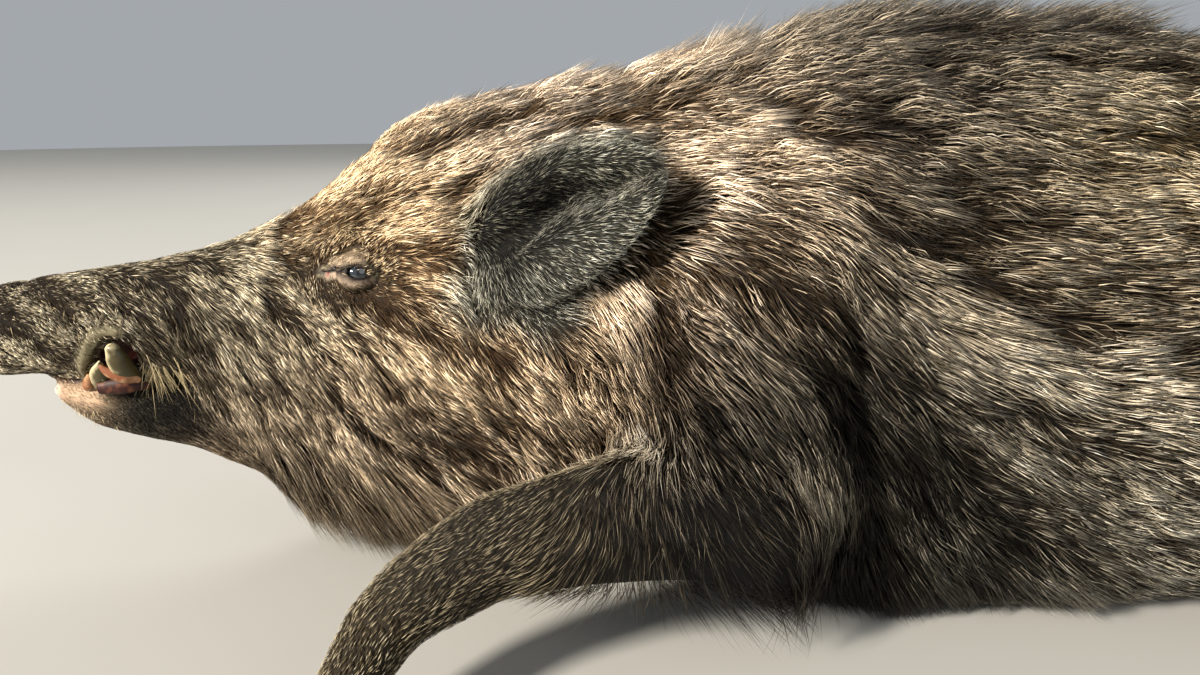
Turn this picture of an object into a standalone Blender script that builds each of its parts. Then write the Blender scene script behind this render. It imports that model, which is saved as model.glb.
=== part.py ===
"""A wild boar lying on its belly at life size, as separate solids that meet with a small gap.

The boar faces -X, its left side is towards -Y, and it rests on the floor at z = 0. The origin is
the middle of the belly's flat, halfway between snout and rump. Lengths are in metres. Every
outline runs out to the tips of the coat, and "behind the snout" is measured along +X.
"""

import math

import bmesh
import bpy
from mathutils import Vector

GAP = 0.0003                 # clearance between two solids that meet
BODY_LENGTH = 1.50           # snout to rump
SNOUT_X = -BODY_LENGTH / 2   # where the snout's tip lies
BELOW_FLOOR = -0.01          # how deep a cutter reaches, so that it cuts right through a flat

BODY_POINTS = 24             # points round a ring of head, neck or trunk
JAW_POINTS = 12
SHOULDER_POINTS = 12
LIMB_POINTS = 8
CLAW_POINTS = 6
TUSK_POINTS = 6
EAR_POINTS = 12
JAW_RINGS = 7                # rings along the jaw, an ear, a shoulder or thigh, and the tail
EAR_RINGS = 8
SHOULDER_RINGS = 6
TAIL_RINGS = 8

# Where the long solids part, behind the snout.
DISC_BACK = 0.0120
HEAD_BACK = 0.4400
NECK_BACK = 0.5900
CHEST_BACK = 0.8700
BELLY_BACK = 1.1900

# The body's outline: (distance behind the snout, value).
BACK_LINE = (
    (0.000, 0.216), (0.012, 0.2235), (0.060, 0.2335), (0.141, 0.246), (0.182, 0.2553),
    (0.224, 0.269), (0.266, 0.2915), (0.316, 0.331), (0.349, 0.358), (0.428, 0.388),
    (0.582, 0.415), (0.650, 0.439), (0.770, 0.448), (0.885, 0.441), (0.964, 0.424),
    (1.100, 0.403), (1.220, 0.375), (1.330, 0.333), (1.420, 0.276), (1.475, 0.225), (1.500, 0.190),
)
BELLY_LINE = (
    (0.000, 0.151), (0.012, 0.147), (0.030, 0.149), (0.182, 0.149), (0.197, 0.120),
    (0.212, 0.066), (0.230, 0.046), (0.268, 0.040), (0.300, 0.032), (0.340, 0.025),
    (0.400, 0.024), (0.505, 0.014), (0.582, 0.000), (0.700, -0.020), (1.220, -0.020),
    (1.420, -0.005), (1.475, 0.030), (1.500, 0.085),
)
HALF_WIDTH = (
    (0.000, 0.035), (0.012, 0.040), (0.030, 0.0365), (0.060, 0.039), (0.100, 0.046),
    (0.182, 0.054), (0.230, 0.064), (0.291, 0.085), (0.349, 0.104), (0.400, 0.119),
    (0.505, 0.157), (0.582, 0.182), (0.770, 0.196), (0.964, 0.198), (1.100, 0.203),
    (1.220, 0.200), (1.330, 0.178), (1.420, 0.132), (1.475, 0.080), (1.500, 0.035),
)
WIDEST_LEVEL = (
    (0.000, 0.185), (0.141, 0.194), (0.266, 0.190), (0.505, 0.186), (0.770, 0.180), (1.500, 0.150),
)
FULL_BELOW = ((0.000, 2.3), (0.300, 2.2), (0.600, 2.5), (1.500, 2.4))
FULL_ABOVE = ((0.000, 2.4), (0.182, 2.2), (0.316, 1.9), (0.500, 1.8), (1.200, 1.9), (1.500, 2.0))

# The lower jaw, below the mouth's line.
JAW_FRONT = 0.052
JAW_BACK = 0.290
JAW_TOP = ((0.052, 0.1420), (0.070, 0.1470), (0.182, 0.1480), (0.290, 0.1500))
JAW_BOTTOM = (
    (0.052, 0.1270), (0.070, 0.1120), (0.100, 0.1000), (0.132, 0.0925), (0.170, 0.0850),
    (0.200, 0.0680), (0.290, 0.0560),
)
JAW_HALF = ((0.052, 0.0130), (0.070, 0.0260), (0.100, 0.0350), (0.182, 0.0430), (0.290, 0.0560))

EYE_RADIUS = 0.0125
EYE_BEHIND = 0.328
EYE_HEIGHT = 0.246
EYE_DEPTH = 0.0095           # the eyeball's centre below the face's side
NOSTRIL_RADIUS = 0.0070
NOSTRIL_DEPTH = 0.0090
NOSTRIL_SPREAD = 0.0150      # from the middle of the disc to each nostril
NOSTRIL_HEIGHT = 0.186

# Each limb piece is a path of (behind the snout, off the middle, height, radius along its
# breadth, radius across it), for a limb on either side.
SHOULDER = (
    (0.672, 0.088, 0.345, 0.060, 0.034), (0.655, 0.130, 0.285, 0.098, 0.056),
    (0.625, 0.145, 0.205, 0.112, 0.061), (0.608, 0.160, 0.140, 0.084, 0.052),
    (0.610, 0.170, 0.112, 0.046, 0.040),
)
FOREARM_STRETCHED = (
    (0.618, 0.178, 0.096, 0.050, 0.050), (0.540, 0.190, 0.106, 0.046, 0.045),
    (0.458, 0.208, 0.101, 0.039, 0.038), (0.408, 0.227, 0.086, 0.032, 0.033),
    (0.384, 0.240, 0.070, 0.028, 0.030),
)
FOREFOOT_STRETCHED = (
    (0.376, 0.246, 0.062, 0.026, 0.027), (0.364, 0.268, 0.046, 0.022, 0.023),
    (0.354, 0.298, 0.030, 0.0205, 0.020), (0.347, 0.322, 0.020, 0.020, 0.017),
)
FOREARM_FOLDED = (
    (0.618, 0.178, 0.096, 0.050, 0.050), (0.500, 0.182, 0.090, 0.039, 0.039),
    (0.400, 0.168, 0.062, 0.030, 0.031),
)
FOREFOOT_FOLDED = (
    (0.388, 0.162, 0.036, 0.026, 0.027), (0.440, 0.150, 0.026, 0.022, 0.022),
    (0.500, 0.138, 0.020, 0.021, 0.018),
)
THIGH = (
    (1.290, 0.070, 0.318, 0.060, 0.034), (1.275, 0.120, 0.262, 0.104, 0.056),
    (1.225, 0.146, 0.188, 0.118, 0.062), (1.158, 0.164, 0.134, 0.080, 0.052),
    (1.128, 0.174, 0.116, 0.042, 0.038),
)
SHANK = (
    (1.108, 0.184, 0.106, 0.048, 0.048), (1.190, 0.196, 0.088, 0.041, 0.041),
    (1.290, 0.203, 0.070, 0.030, 0.032), (1.335, 0.206, 0.060, 0.027, 0.029),
)
HINDFOOT = (
    (1.345, 0.207, 0.042, 0.026, 0.026), (1.280, 0.211, 0.028, 0.022, 0.022),
    (1.190, 0.215, 0.023, 0.021, 0.020), (1.135, 0.217, 0.020, 0.021, 0.017),
)
TAIL = (
    (1.478, 0.000, 0.226, 0.017, 0.017), (1.512, 0.000, 0.196, 0.014, 0.014),
    (1.532, 0.004, 0.130, 0.011, 0.011), (1.541, 0.012, 0.070, 0.012, 0.012),
    (1.553, 0.026, 0.030, 0.017, 0.014), (1.580, 0.046, 0.014, 0.014, 0.012),
)
LOWER_TUSK = (
    (0.113, 0.030, 0.138, 0.0125, 0.0080), (0.108, 0.043, 0.152, 0.0110, 0.0075),
    (0.105, 0.049, 0.168, 0.0040, 0.0035),
)
UPPER_TUSK = (
    (0.131, 0.030, 0.160, 0.0100, 0.0095), (0.127, 0.044, 0.166, 0.0100, 0.0095),
    (0.123, 0.054, 0.176, 0.0085, 0.0080),
)

# The ear: (along it, centre behind the snout, off the middle, height), then its half height,
# half thickness and how far its rims stand out from its hollow.
EAR_LINE = (
    (0.00, 0.408, 0.102, 0.262), (0.30, 0.444, 0.129, 0.276), (0.70, 0.505, 0.163, 0.291),
    (1.00, 0.549, 0.188, 0.314),
)
EAR_HALF_HEIGHT = (
    (0.00, 0.022), (0.15, 0.044), (0.45, 0.056), (0.70, 0.050), (0.90, 0.028), (1.00, 0.008),
)
EAR_HALF_THICKNESS = ((0.00, 0.014), (0.45, 0.009), (1.00, 0.004))
EAR_HOLLOW = ((0.00, 0.004), (0.35, 0.020), (0.80, 0.012), (1.00, 0.002))
EAR_LEAN = math.radians(18)  # the upper rim leans towards the neck

# Each claw: (length, half width, height).
HOOF_SIZE = (0.058, 0.0125, 0.030)
DEWCLAW_SIZE = (0.030, 0.0075, 0.017)
HOOF_SPREAD = 0.0130         # from the foot's middle to each hoof's middle
DEWCLAW_SPREAD = 0.0140
DEWCLAW_BACK = 0.030         # behind the last point of the foot
CLAW_SHAPE = ((0.00, 0.80, 0.90), (0.35, 1.00, 1.00), (0.75, 0.78, 0.56), (1.00, 0.34, 0.20))

# Colour, roughness.
FINISHES = {
    "coat": ((0.085, 0.062, 0.045, 1.0), 0.75),
    "dark_coat": ((0.030, 0.026, 0.024, 1.0), 0.70),
    "snout_skin": ((0.110, 0.080, 0.070, 1.0), 0.50),
    "horn": ((0.060, 0.045, 0.035, 1.0), 0.45),
    "ivory": ((0.480, 0.400, 0.260, 1.0), 0.35),
    "eyeball": ((0.020, 0.022, 0.028, 1.0), 0.08),
}


def curve(points, at):
    """Value at a place on the smooth line through (place, value) points, with no overshoot."""
    places = [p[0] for p in points]
    values = [p[1] for p in points]
    if at <= places[0]:
        return values[0]
    if at >= places[-1]:
        return values[-1]
    steps = [b - a for a, b in zip(places, places[1:])]
    slopes = [(b - a) / h for a, b, h in zip(values, values[1:], steps)]
    k = max(i for i in range(len(steps)) if places[i] <= at)

    def tangent(i):
        if i == 0 or i == len(slopes):
            return slopes[min(i, len(slopes) - 1)]
        before, after = slopes[i - 1], slopes[i]
        if before * after <= 0:
            return 0.0
        return 2 * before * after / (before + after)

    h = steps[k]
    t = (at - places[k]) / h
    return (
        values[k] * (1 + 2 * t) * (1 - t) ** 2
        + h * tangent(k) * t * (1 - t) ** 2
        + values[k + 1] * t * t * (3 - 2 * t)
        + h * tangent(k + 1) * t * t * (t - 1)
    )


def power(value, exponent):
    """A signed power, for superellipse outlines."""
    return math.copysign(abs(value) ** exponent, value)


def oval(points, behind, half, bottom, level, top, below, above):
    """A ring across the body: an oval with its own height and fullness above and below."""
    ring = []
    for i in range(points):
        angle = math.tau * i / points
        c, s = math.cos(angle), math.sin(angle)
        reach, fullness = (top - level, above) if s > 0 else (level - bottom, below)
        y = half * power(c, 2 / fullness)
        z = level + reach * power(s, 2 / fullness)
        ring.append(Vector((SNOUT_X + behind, y, max(z, 0.0))))
    return ring


def body_ring(behind):
    """The body's ring at a distance behind the snout."""
    return oval(
        BODY_POINTS, behind, curve(HALF_WIDTH, behind),
        curve(BELLY_LINE, behind), curve(WIDEST_LEVEL, behind), curve(BACK_LINE, behind),
        curve(FULL_BELOW, behind), curve(FULL_ABOVE, behind),
    )


def half_width_at(behind, height):
    """How far the body's side is from the middle at a height above its widest level."""
    level = curve(WIDEST_LEVEL, behind)
    share = (height - level) / (curve(BACK_LINE, behind) - level)
    fullness = curve(FULL_ABOVE, behind)
    return curve(HALF_WIDTH, behind) * (1 - share**fullness) ** (1 / fullness)


def closed_mesh(name, rings, first_tip=None, last_tip=None):
    """A closed mesh through equal rings, each end a fan to its tip or to its ring's middle."""
    bm = bmesh.new()
    rows = [[bm.verts.new(p) for p in ring] for ring in rings]
    count = len(rings[0])
    for row, after in zip(rows, rows[1:]):
        for i in range(count):
            j = (i + 1) % count
            bm.faces.new((row[i], row[j], after[j]))
            bm.faces.new((row[i], after[j], after[i]))
    for row, tip in ((rows[0], first_tip), (rows[-1], last_tip)):
        middle = sum((v.co for v in row), Vector()) / count
        centre = bm.verts.new(tip if tip is not None else middle)
        for i in range(count):
            bm.faces.new((row[i], row[(i + 1) % count], centre))
    bmesh.ops.recalc_face_normals(bm, faces=bm.faces)
    mesh = bpy.data.meshes.new(name)
    bm.to_mesh(mesh)
    bm.free()
    return mesh


def long_body(name, front, back, rings):
    """A length of head, neck or trunk between two flat ends."""
    places = [front + (back - front) * i / (rings - 1) for i in range(rings)]
    return closed_mesh(name, [body_ring(place) for place in places])


def tube(name, path, side, across, points, steps, grow=0.0):
    """A limb-like solid with round ends along a path, on the side of the body given by +1 or -1."""
    places = [Vector((SNOUT_X + p[0], side * p[1], p[2])) for p in path]
    travel = [0.0]
    for a, b in zip(places, places[1:]):
        travel.append(travel[-1] + (b - a).length)
    lines = [list(zip(travel, column)) for column in zip(*places)]
    broad = list(zip(travel, [p[3] for p in path]))
    thick = list(zip(travel, [p[4] for p in path]))
    floor = BELOW_FLOOR if grow else 0.0
    small = travel[-1] * 0.01

    def frame(t):
        centre = Vector(curve(line, t) for line in lines)
        ahead = Vector(curve(line, min(t + small, travel[-1])) for line in lines)
        behind = Vector(curve(line, max(t - small, 0.0)) for line in lines)
        along = (ahead - behind).normalized()
        wide = (across - across.dot(along) * along).normalized()
        return centre, along, wide, along.cross(wide)

    def ring(t, shift, scale):
        centre, along, wide, deep = frame(t)
        a = (curve(broad, t) + grow) * scale
        b = (curve(thick, t) + grow) * scale
        out = []
        for i in range(points):
            angle = math.tau * i / points
            p = centre + along * shift + wide * (a * math.cos(angle)) + deep * (b * math.sin(angle))
            p.z = max(p.z, floor)
            out.append(p)
        return out

    def round_end(t, way):
        radius = min(curve(broad, t), curve(thick, t)) + grow
        turns = (math.radians(68), math.radians(38))
        rings = [ring(t, way * radius * math.sin(a), math.cos(a)) for a in turns]
        centre, along, _, _ = frame(t)
        tip = centre + along * (way * radius)
        tip.z = max(tip.z, floor)
        return rings, tip

    first, first_tip = round_end(0.0, -1)
    last, last_tip = round_end(travel[-1], 1)
    middle = [ring(travel[-1] * i / (steps - 1), 0.0, 1.0) for i in range(steps)]
    return closed_mesh(name, first + middle + last[::-1], first_tip, last_tip)


def jaw_mesh(name, grow=0.0):
    """The lower jaw, from its tip back into the cheeks."""
    rings = []
    for i in range(JAW_RINGS):
        behind = JAW_FRONT + (JAW_BACK - JAW_FRONT) * i / (JAW_RINGS - 1)
        top = curve(JAW_TOP, behind) + grow
        bottom = curve(JAW_BOTTOM, behind) - grow
        level = bottom + (top - bottom) * 0.6
        half = curve(JAW_HALF, behind) + grow
        rings.append(oval(JAW_POINTS, behind, half, bottom, level, top, 2.0, 2.8))
    shift = Vector((grow, 0.0, 0.0))
    rings[0] = [p - shift for p in rings[0]]
    rings[-1] = [p + shift for p in rings[-1]]
    return closed_mesh(name, rings)


def ear_mesh(name, side, grow=0.0):
    """A broad pointed ear laid back along the neck, hollow towards the viewer's side."""
    rings = []
    for i in range(EAR_RINGS):
        u = i / (EAR_RINGS - 1)
        centre = Vector((
            SNOUT_X + curve([(p[0], p[1]) for p in EAR_LINE], u),
            side * curve([(p[0], p[2]) for p in EAR_LINE], u),
            curve([(p[0], p[3]) for p in EAR_LINE], u),
        ))
        up = Vector((0.0, -side * math.sin(EAR_LEAN), math.cos(EAR_LEAN)))
        out = Vector((0.0, side * math.cos(EAR_LEAN), math.sin(EAR_LEAN)))
        high = curve(EAR_HALF_HEIGHT, u) + grow
        thick = curve(EAR_HALF_THICKNESS, u) + grow
        hollow = curve(EAR_HOLLOW, u)
        ring = []
        for k in range(EAR_POINTS):
            angle = math.tau * k / EAR_POINTS
            rise = math.sin(angle)
            lift = thick * math.cos(angle) + hollow * rise * rise
            ring.append(centre + up * (high * rise) + out * lift)
        rings.append(ring)
    if grow:
        rings[-1] = [p + Vector((grow, 0.0, 0.0)) for p in rings[-1]]
    return closed_mesh(name, rings)


def eye_mesh(name, side, grow=0.0):
    """An eyeball set in the side of the face."""
    radius = EYE_RADIUS + grow
    across = half_width_at(EYE_BEHIND, EYE_HEIGHT) - EYE_DEPTH
    centre = Vector((SNOUT_X + EYE_BEHIND, side * across, EYE_HEIGHT))
    bm = bmesh.new()
    bmesh.ops.create_uvsphere(bm, u_segments=10, v_segments=6, radius=radius)
    bmesh.ops.translate(bm, verts=bm.verts, vec=centre)
    mesh = bpy.data.meshes.new(name)
    bm.to_mesh(mesh)
    bm.free()
    return mesh


def claw_mesh(name, heel, along, size, grow=0.0):
    """A pointed claw with a flat sole on the floor, from its heel along its length."""
    length, half_width, height = size
    wide = along.cross(Vector((0.0, 0.0, 1.0))).normalized()
    floor = BELOW_FLOOR if grow else 0.0
    rings = []
    for share, breadth, rise in CLAW_SHAPE:
        middle = heel + along * (length * share)
        half_height = height * rise / 2
        ring = []
        for i in range(CLAW_POINTS):
            angle = math.tau * (i + 0.5) / CLAW_POINTS
            p = middle + wide * ((half_width * breadth + grow) * math.cos(angle))
            p.z = half_height * 0.8 + (half_height * 1.2 + grow) * math.sin(angle)
            p.z = max(p.z, floor)
            ring.append(p)
        rings.append(ring)
    rings[0] = [p - along * grow for p in rings[0]]
    rings[-1] = [p + along * grow for p in rings[-1]]
    return closed_mesh(name, rings)


def nostril_mesh(name, side):
    """A cutter for one nostril in the disc of the snout."""
    bm = bmesh.new()
    bmesh.ops.create_cone(
        bm, cap_ends=True, segments=10, radius1=NOSTRIL_RADIUS, radius2=NOSTRIL_RADIUS * 0.7,
        depth=NOSTRIL_DEPTH * 2,
    )
    bmesh.ops.rotate(bm, verts=bm.verts, matrix=turn_to_x())
    centre = Vector((SNOUT_X, side * NOSTRIL_SPREAD, NOSTRIL_HEIGHT))
    bmesh.ops.translate(bm, verts=bm.verts, vec=centre)
    mesh = bpy.data.meshes.new(name)
    bm.to_mesh(mesh)
    bm.free()
    return mesh


def turn_to_x():
    """The turn that lays an upright shape along X."""
    return Vector((0.0, 0.0, 1.0)).rotation_difference(Vector((1.0, 0.0, 0.0))).to_matrix()


def finish_material(name):
    """A plain material with a finish's colour and roughness."""
    colour, roughness = FINISHES[name]
    material = bpy.data.materials.get(name) or bpy.data.materials.new(name)
    material.use_nodes = True
    shader = material.node_tree.nodes["Principled BSDF"]
    shader.inputs["Base Color"].default_value = colour
    shader.inputs["Roughness"].default_value = roughness
    return material


class Model:
    """The boar's solids, each made once and once more as a slightly larger cutter."""

    def __init__(self):
        self.objects = {}
        self.makers = {}
        self.cutters = {}

    def add(self, name, finish, make, cut_by=()):
        """Make a solid from make(name, grow) and cut its neighbours' room out of it."""
        obj = bpy.data.objects.new(name, make(name, 0.0))
        bpy.context.scene.collection.objects.link(obj)
        obj.data.materials.append(finish_material(finish))
        obj.data.shade_smooth()
        obj.data.set_sharp_from_angle(angle=math.radians(50))
        self.objects[name] = obj
        self.makers[name] = make
        for other in cut_by:
            cut(obj, self.cutter(other))

    def cutter(self, name):
        """The hidden cutter that leaves the gap round a solid."""
        if name not in self.cutters:
            mesh = self.makers[name](name + "_room", GAP)
            self.cutters[name] = hidden_cutter(name + "_room", mesh)
        return self.cutters[name]


def hidden_cutter(name, mesh):
    """An object that only cuts others and isn't part of the model."""
    obj = bpy.data.objects.new(name, mesh)
    bpy.context.scene.collection.objects.link(obj)
    obj.hide_render = True
    obj.display_type = "WIRE"
    return obj


def cut(obj, cutter):
    """Take a cutter away from an object."""
    modifier = obj.modifiers.new("cut_" + cutter.name, "BOOLEAN")
    modifier.operation = "DIFFERENCE"
    modifier.solver = "EXACT"
    modifier.object = cutter


def path_maker(path, side, across, points=LIMB_POINTS, steps=5):
    """A maker for a tube along a path."""
    return lambda name, grow: tube(name, path, side, across, points, steps, grow)


def add_claws(model, leg, path, side):
    """The two hooves and two dewclaws at the end of a foot. Returns their names."""
    last, before = path[-1], path[-2]
    end = Vector((SNOUT_X + last[0], side * last[1], 0.0))
    along = (end - Vector((SNOUT_X + before[0], side * before[1], 0.0))).normalized()
    aside = along.cross(Vector((0.0, 0.0, 1.0)))
    splayed = math.radians(20)
    names = []
    for word, sign in (("a", 1), ("b", -1)):
        heel = end + aside * (sign * HOOF_SPREAD)
        names.append(f"{leg}_hoof_{word}")
        model.add(names[-1], "horn", claw_maker(heel, along, HOOF_SIZE))
        root = end - along * DEWCLAW_BACK + aside * (sign * DEWCLAW_SPREAD)
        outwards = along * math.cos(splayed) + aside * (sign * math.sin(splayed))
        names.append(f"{leg}_dewclaw_{word}")
        model.add(names[-1], "horn", claw_maker(root, outwards, DEWCLAW_SIZE))
    return names


def claw_maker(heel, along, size):
    """A maker for one claw."""
    return lambda name, grow: claw_mesh(name, heel, along, size, grow)


def add_leg(model, leg, side, upper, middle, foot, pieces):
    """A leg of three pieces with its hooves. Returns the names that the trunk makes room for."""
    lengthwise = Vector((1.0, 0.0, 0.0))
    upright = Vector((0.0, 0.0, 1.0))
    upper_name, middle_name, foot_name = (f"{leg}_{piece}" for piece in pieces)
    claws = add_claws(model, leg, foot, side)
    model.add(foot_name, "dark_coat", path_maker(foot, side, upright), claws)
    model.add(middle_name, "dark_coat", path_maker(middle, side, upright), [foot_name])
    upper_maker = path_maker(upper, side, lengthwise, SHOULDER_POINTS, SHOULDER_RINGS)
    model.add(upper_name, "coat", upper_maker, [middle_name, foot_name])
    return [upper_name, middle_name]


def add_trunk(model, fore, hind):
    """Neck, chest, belly and rump, with room for the legs, ears and tail."""
    ears = ["ear_left", "ear_right"]
    lengths = (
        ("neck", HEAD_BACK, NECK_BACK, 5, ears + fore),
        ("chest", NECK_BACK, CHEST_BACK, 5, fore),
        ("belly", CHEST_BACK, BELLY_BACK, 4, hind),
        ("rump", BELLY_BACK, BODY_LENGTH, 8, hind + ["tail"]),
    )
    for name, front, back, rings, cut_by in lengths:
        start = front + GAP
        maker = lambda n, g, a=start, b=back, r=rings: long_body(n, a, b, r)
        model.add(name, "coat", maker, cut_by)


def add_head(model):
    """Snout disc, head, lower jaw, tusks, eyes and ears."""
    upright = Vector((0.0, 0.0, 1.0))
    lengthwise = Vector((1.0, 0.0, 0.0))
    for word, side in (("left", -1), ("right", 1)):
        tusk = path_maker(LOWER_TUSK, side, lengthwise, TUSK_POINTS, 3)
        model.add(f"lower_tusk_{word}", "ivory", tusk)
        tusk = path_maker(UPPER_TUSK, side, lengthwise, TUSK_POINTS, 3)
        model.add(f"upper_tusk_{word}", "ivory", tusk)
        model.add(f"eye_{word}", "eyeball", lambda n, g, s=side: eye_mesh(n, s, g))
        model.add(f"ear_{word}", "dark_coat", lambda n, g, s=side: ear_mesh(n, s, g))
    tusks = [name for name in model.objects if "tusk" in name]
    model.add("lower_jaw", "coat", jaw_mesh, tusks)
    others = [name for name in model.objects if name.startswith(("eye_", "ear_"))]
    head = lambda n, g: long_body(n, DISC_BACK + GAP, HEAD_BACK, 14)
    model.add("head", "coat", head, tusks + others + ["lower_jaw"])
    model.add("snout_disc", "snout_skin", lambda n, g: long_body(n, 0.0, DISC_BACK, 3))
    for word, side in (("left", -1), ("right", 1)):
        name = f"nostril_{word}"
        cut(model.objects["snout_disc"], hidden_cutter(name, nostril_mesh(name, side)))


def main():
    """Build the boar."""
    for obj in list(bpy.data.objects):
        bpy.data.objects.remove(obj)
    model = Model()
    add_head(model)
    fore_pieces = ("shoulder", "forearm", "forefoot")
    hind_pieces = ("thigh", "shank", "hindfoot")
    fore = add_leg(
        model, "foreleg_left", -1, SHOULDER, FOREARM_STRETCHED, FOREFOOT_STRETCHED, fore_pieces,
    )
    fore += add_leg(
        model, "foreleg_right", 1, SHOULDER, FOREARM_FOLDED, FOREFOOT_FOLDED, fore_pieces,
    )
    hind = []
    for word, side in (("left", -1), ("right", 1)):
        hind += add_leg(model, f"hindleg_{word}", side, THIGH, SHANK, HINDFOOT, hind_pieces)
    model.add("tail", "dark_coat", path_maker(TAIL, 1, Vector((0.0, 1.0, 0.0)), LIMB_POINTS, TAIL_RINGS))
    add_trunk(model, fore, hind)


main()
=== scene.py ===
"""Looks for a life-size still model of a wild boar lying on its belly.

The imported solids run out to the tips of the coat. One skin lies inside them by the coat's depth,
and solid tufts cover it. The boar faces -X, its left side is towards -Y, and the floor is z = 0.
Lengths are in metres. "Behind" is the distance behind the snout's tip, along +X.
"""

import math

import bmesh
import bpy
import numpy as np
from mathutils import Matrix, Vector
from mathutils.bvhtree import BVHTree
from mathutils.kdtree import KDTree


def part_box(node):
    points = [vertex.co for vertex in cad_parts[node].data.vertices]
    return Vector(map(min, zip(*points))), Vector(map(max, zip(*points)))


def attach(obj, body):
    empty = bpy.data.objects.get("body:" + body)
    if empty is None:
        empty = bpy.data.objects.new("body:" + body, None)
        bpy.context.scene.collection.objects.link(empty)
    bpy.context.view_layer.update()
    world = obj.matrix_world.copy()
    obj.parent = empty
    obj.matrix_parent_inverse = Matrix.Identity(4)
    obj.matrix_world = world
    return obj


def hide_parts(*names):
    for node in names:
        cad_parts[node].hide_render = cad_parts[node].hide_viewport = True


bl_info = {
    "name": "Lying Wild Boar",
    "version": (1, 0, 0),
    "blender": (4, 5, 0),
    "location": "View3D > Sidebar > Boar",
    "description": "Skin, coat, eyes, tusks and hooves of a lying wild boar",
    "category": "Add Mesh",
}

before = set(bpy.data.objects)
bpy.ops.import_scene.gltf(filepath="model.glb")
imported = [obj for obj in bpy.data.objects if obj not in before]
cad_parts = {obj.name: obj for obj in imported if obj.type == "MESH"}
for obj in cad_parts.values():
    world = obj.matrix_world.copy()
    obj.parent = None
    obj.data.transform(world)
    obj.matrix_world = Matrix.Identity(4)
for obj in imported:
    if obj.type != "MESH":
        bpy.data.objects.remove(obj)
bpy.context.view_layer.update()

MM = 0.001
SIDES = (("left", -1.0), ("right", 1.0))
SNOUT_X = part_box("snout_disc")[0].x
EYE_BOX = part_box("eye_left")
EYE_CENTRE = (EYE_BOX[0] + EYE_BOX[1]) / 2
EYE_RADIUS = (EYE_BOX[1].z - EYE_BOX[0].z) / 2

HARD_WORDS = ("eye_", "tusk", "hoof", "dewclaw")
FLESH = [n for n in sorted(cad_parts) if not any(w in n for w in HARD_WORDS)]
HOOVES = [n for n in sorted(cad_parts) if "hoof" in n or "dewclaw" in n]

# ---------------------------------------------------------------------------------------------
# The coat by node: its depth over the skin, the length and width of its tufts, and how often
# the skin is relaxed there.
# ---------------------------------------------------------------------------------------------
NODE_COAT = {
    # word in the node's name: (depth, length, width, relaxing rounds, clumping, spacing of locks)
    "snout_disc": (0.6, 3.0, 0.55, 8, 0.1, 3.0),
    "lower_jaw": (2.0, 8.0, 0.44, 8, 0.2, 3.0),
    "head": (6.0, 16.0, 0.65, 14, 0.55, 4.6),
    "ear_": (2.6, 15.0, 0.38, 1, 0.12, 3.2),
    "neck": (16.0, 46.0, 0.76, 40, 0.60, 7.0),
    "chest": (15.0, 44.0, 0.80, 50, 0.50, 7.0),
    "belly": (13.0, 35.0, 0.82, 50, 0.35, 5.0),
    "rump": (12.0, 34.0, 0.88, 45, 0.35, 5.0),
    "shoulder": (14.0, 48.0, 0.78, 30, 0.62, 8.0),
    "thigh": (12.0, 33.0, 0.88, 30, 0.35, 5.0),
    "forearm": (4.0, 11.0, 0.48, 9, 0.12, 3.6),
    "shank": (4.0, 11.0, 0.56, 9, 0.12, 3.6),
    "forefoot": (2.4, 9.0, 0.65, 5, 0.2, 3.0),
    "hindfoot": (2.4, 9.0, 0.65, 5, 0.2, 3.0),
    "tail": (4.5, 24.0, 0.8, 4, 0.3, 3.6),
}
# Along the head and neck the coat grows longer and deeper: (behind, millimetres).
HEAD_DEPTH = ((0.000, 0.5), (0.020, 1.4), (0.060, 3.0), (0.180, 5.0), (0.260, 6.5), (0.340, 8.0), (0.440, 14.0))
HEAD_LENGTH = (
    (0.000, 4.0), (0.030, 8.0), (0.080, 15.0), (0.140, 23.0), (0.200, 30.0), (0.300, 31.0), (0.440, 40.0),
)
HEAD_WIDTH = ((0.000, 0.42), (0.100, 0.48), (0.250, 0.52), (0.440, 0.70))
MANE_DEPTH = 19.0            # more depth along the middle of the back
MANE_LENGTH = 26.0           # longer bristles there
MANE_SPREAD = 0.050          # how far the mane reaches either side of the middle
MANE_RUN = ((0.270, 0.0), (0.380, 0.35), (0.560, 0.8), (0.700, 1.0), (1.150, 0.9), (1.350, 0.4), (1.450, 0.0))

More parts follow.
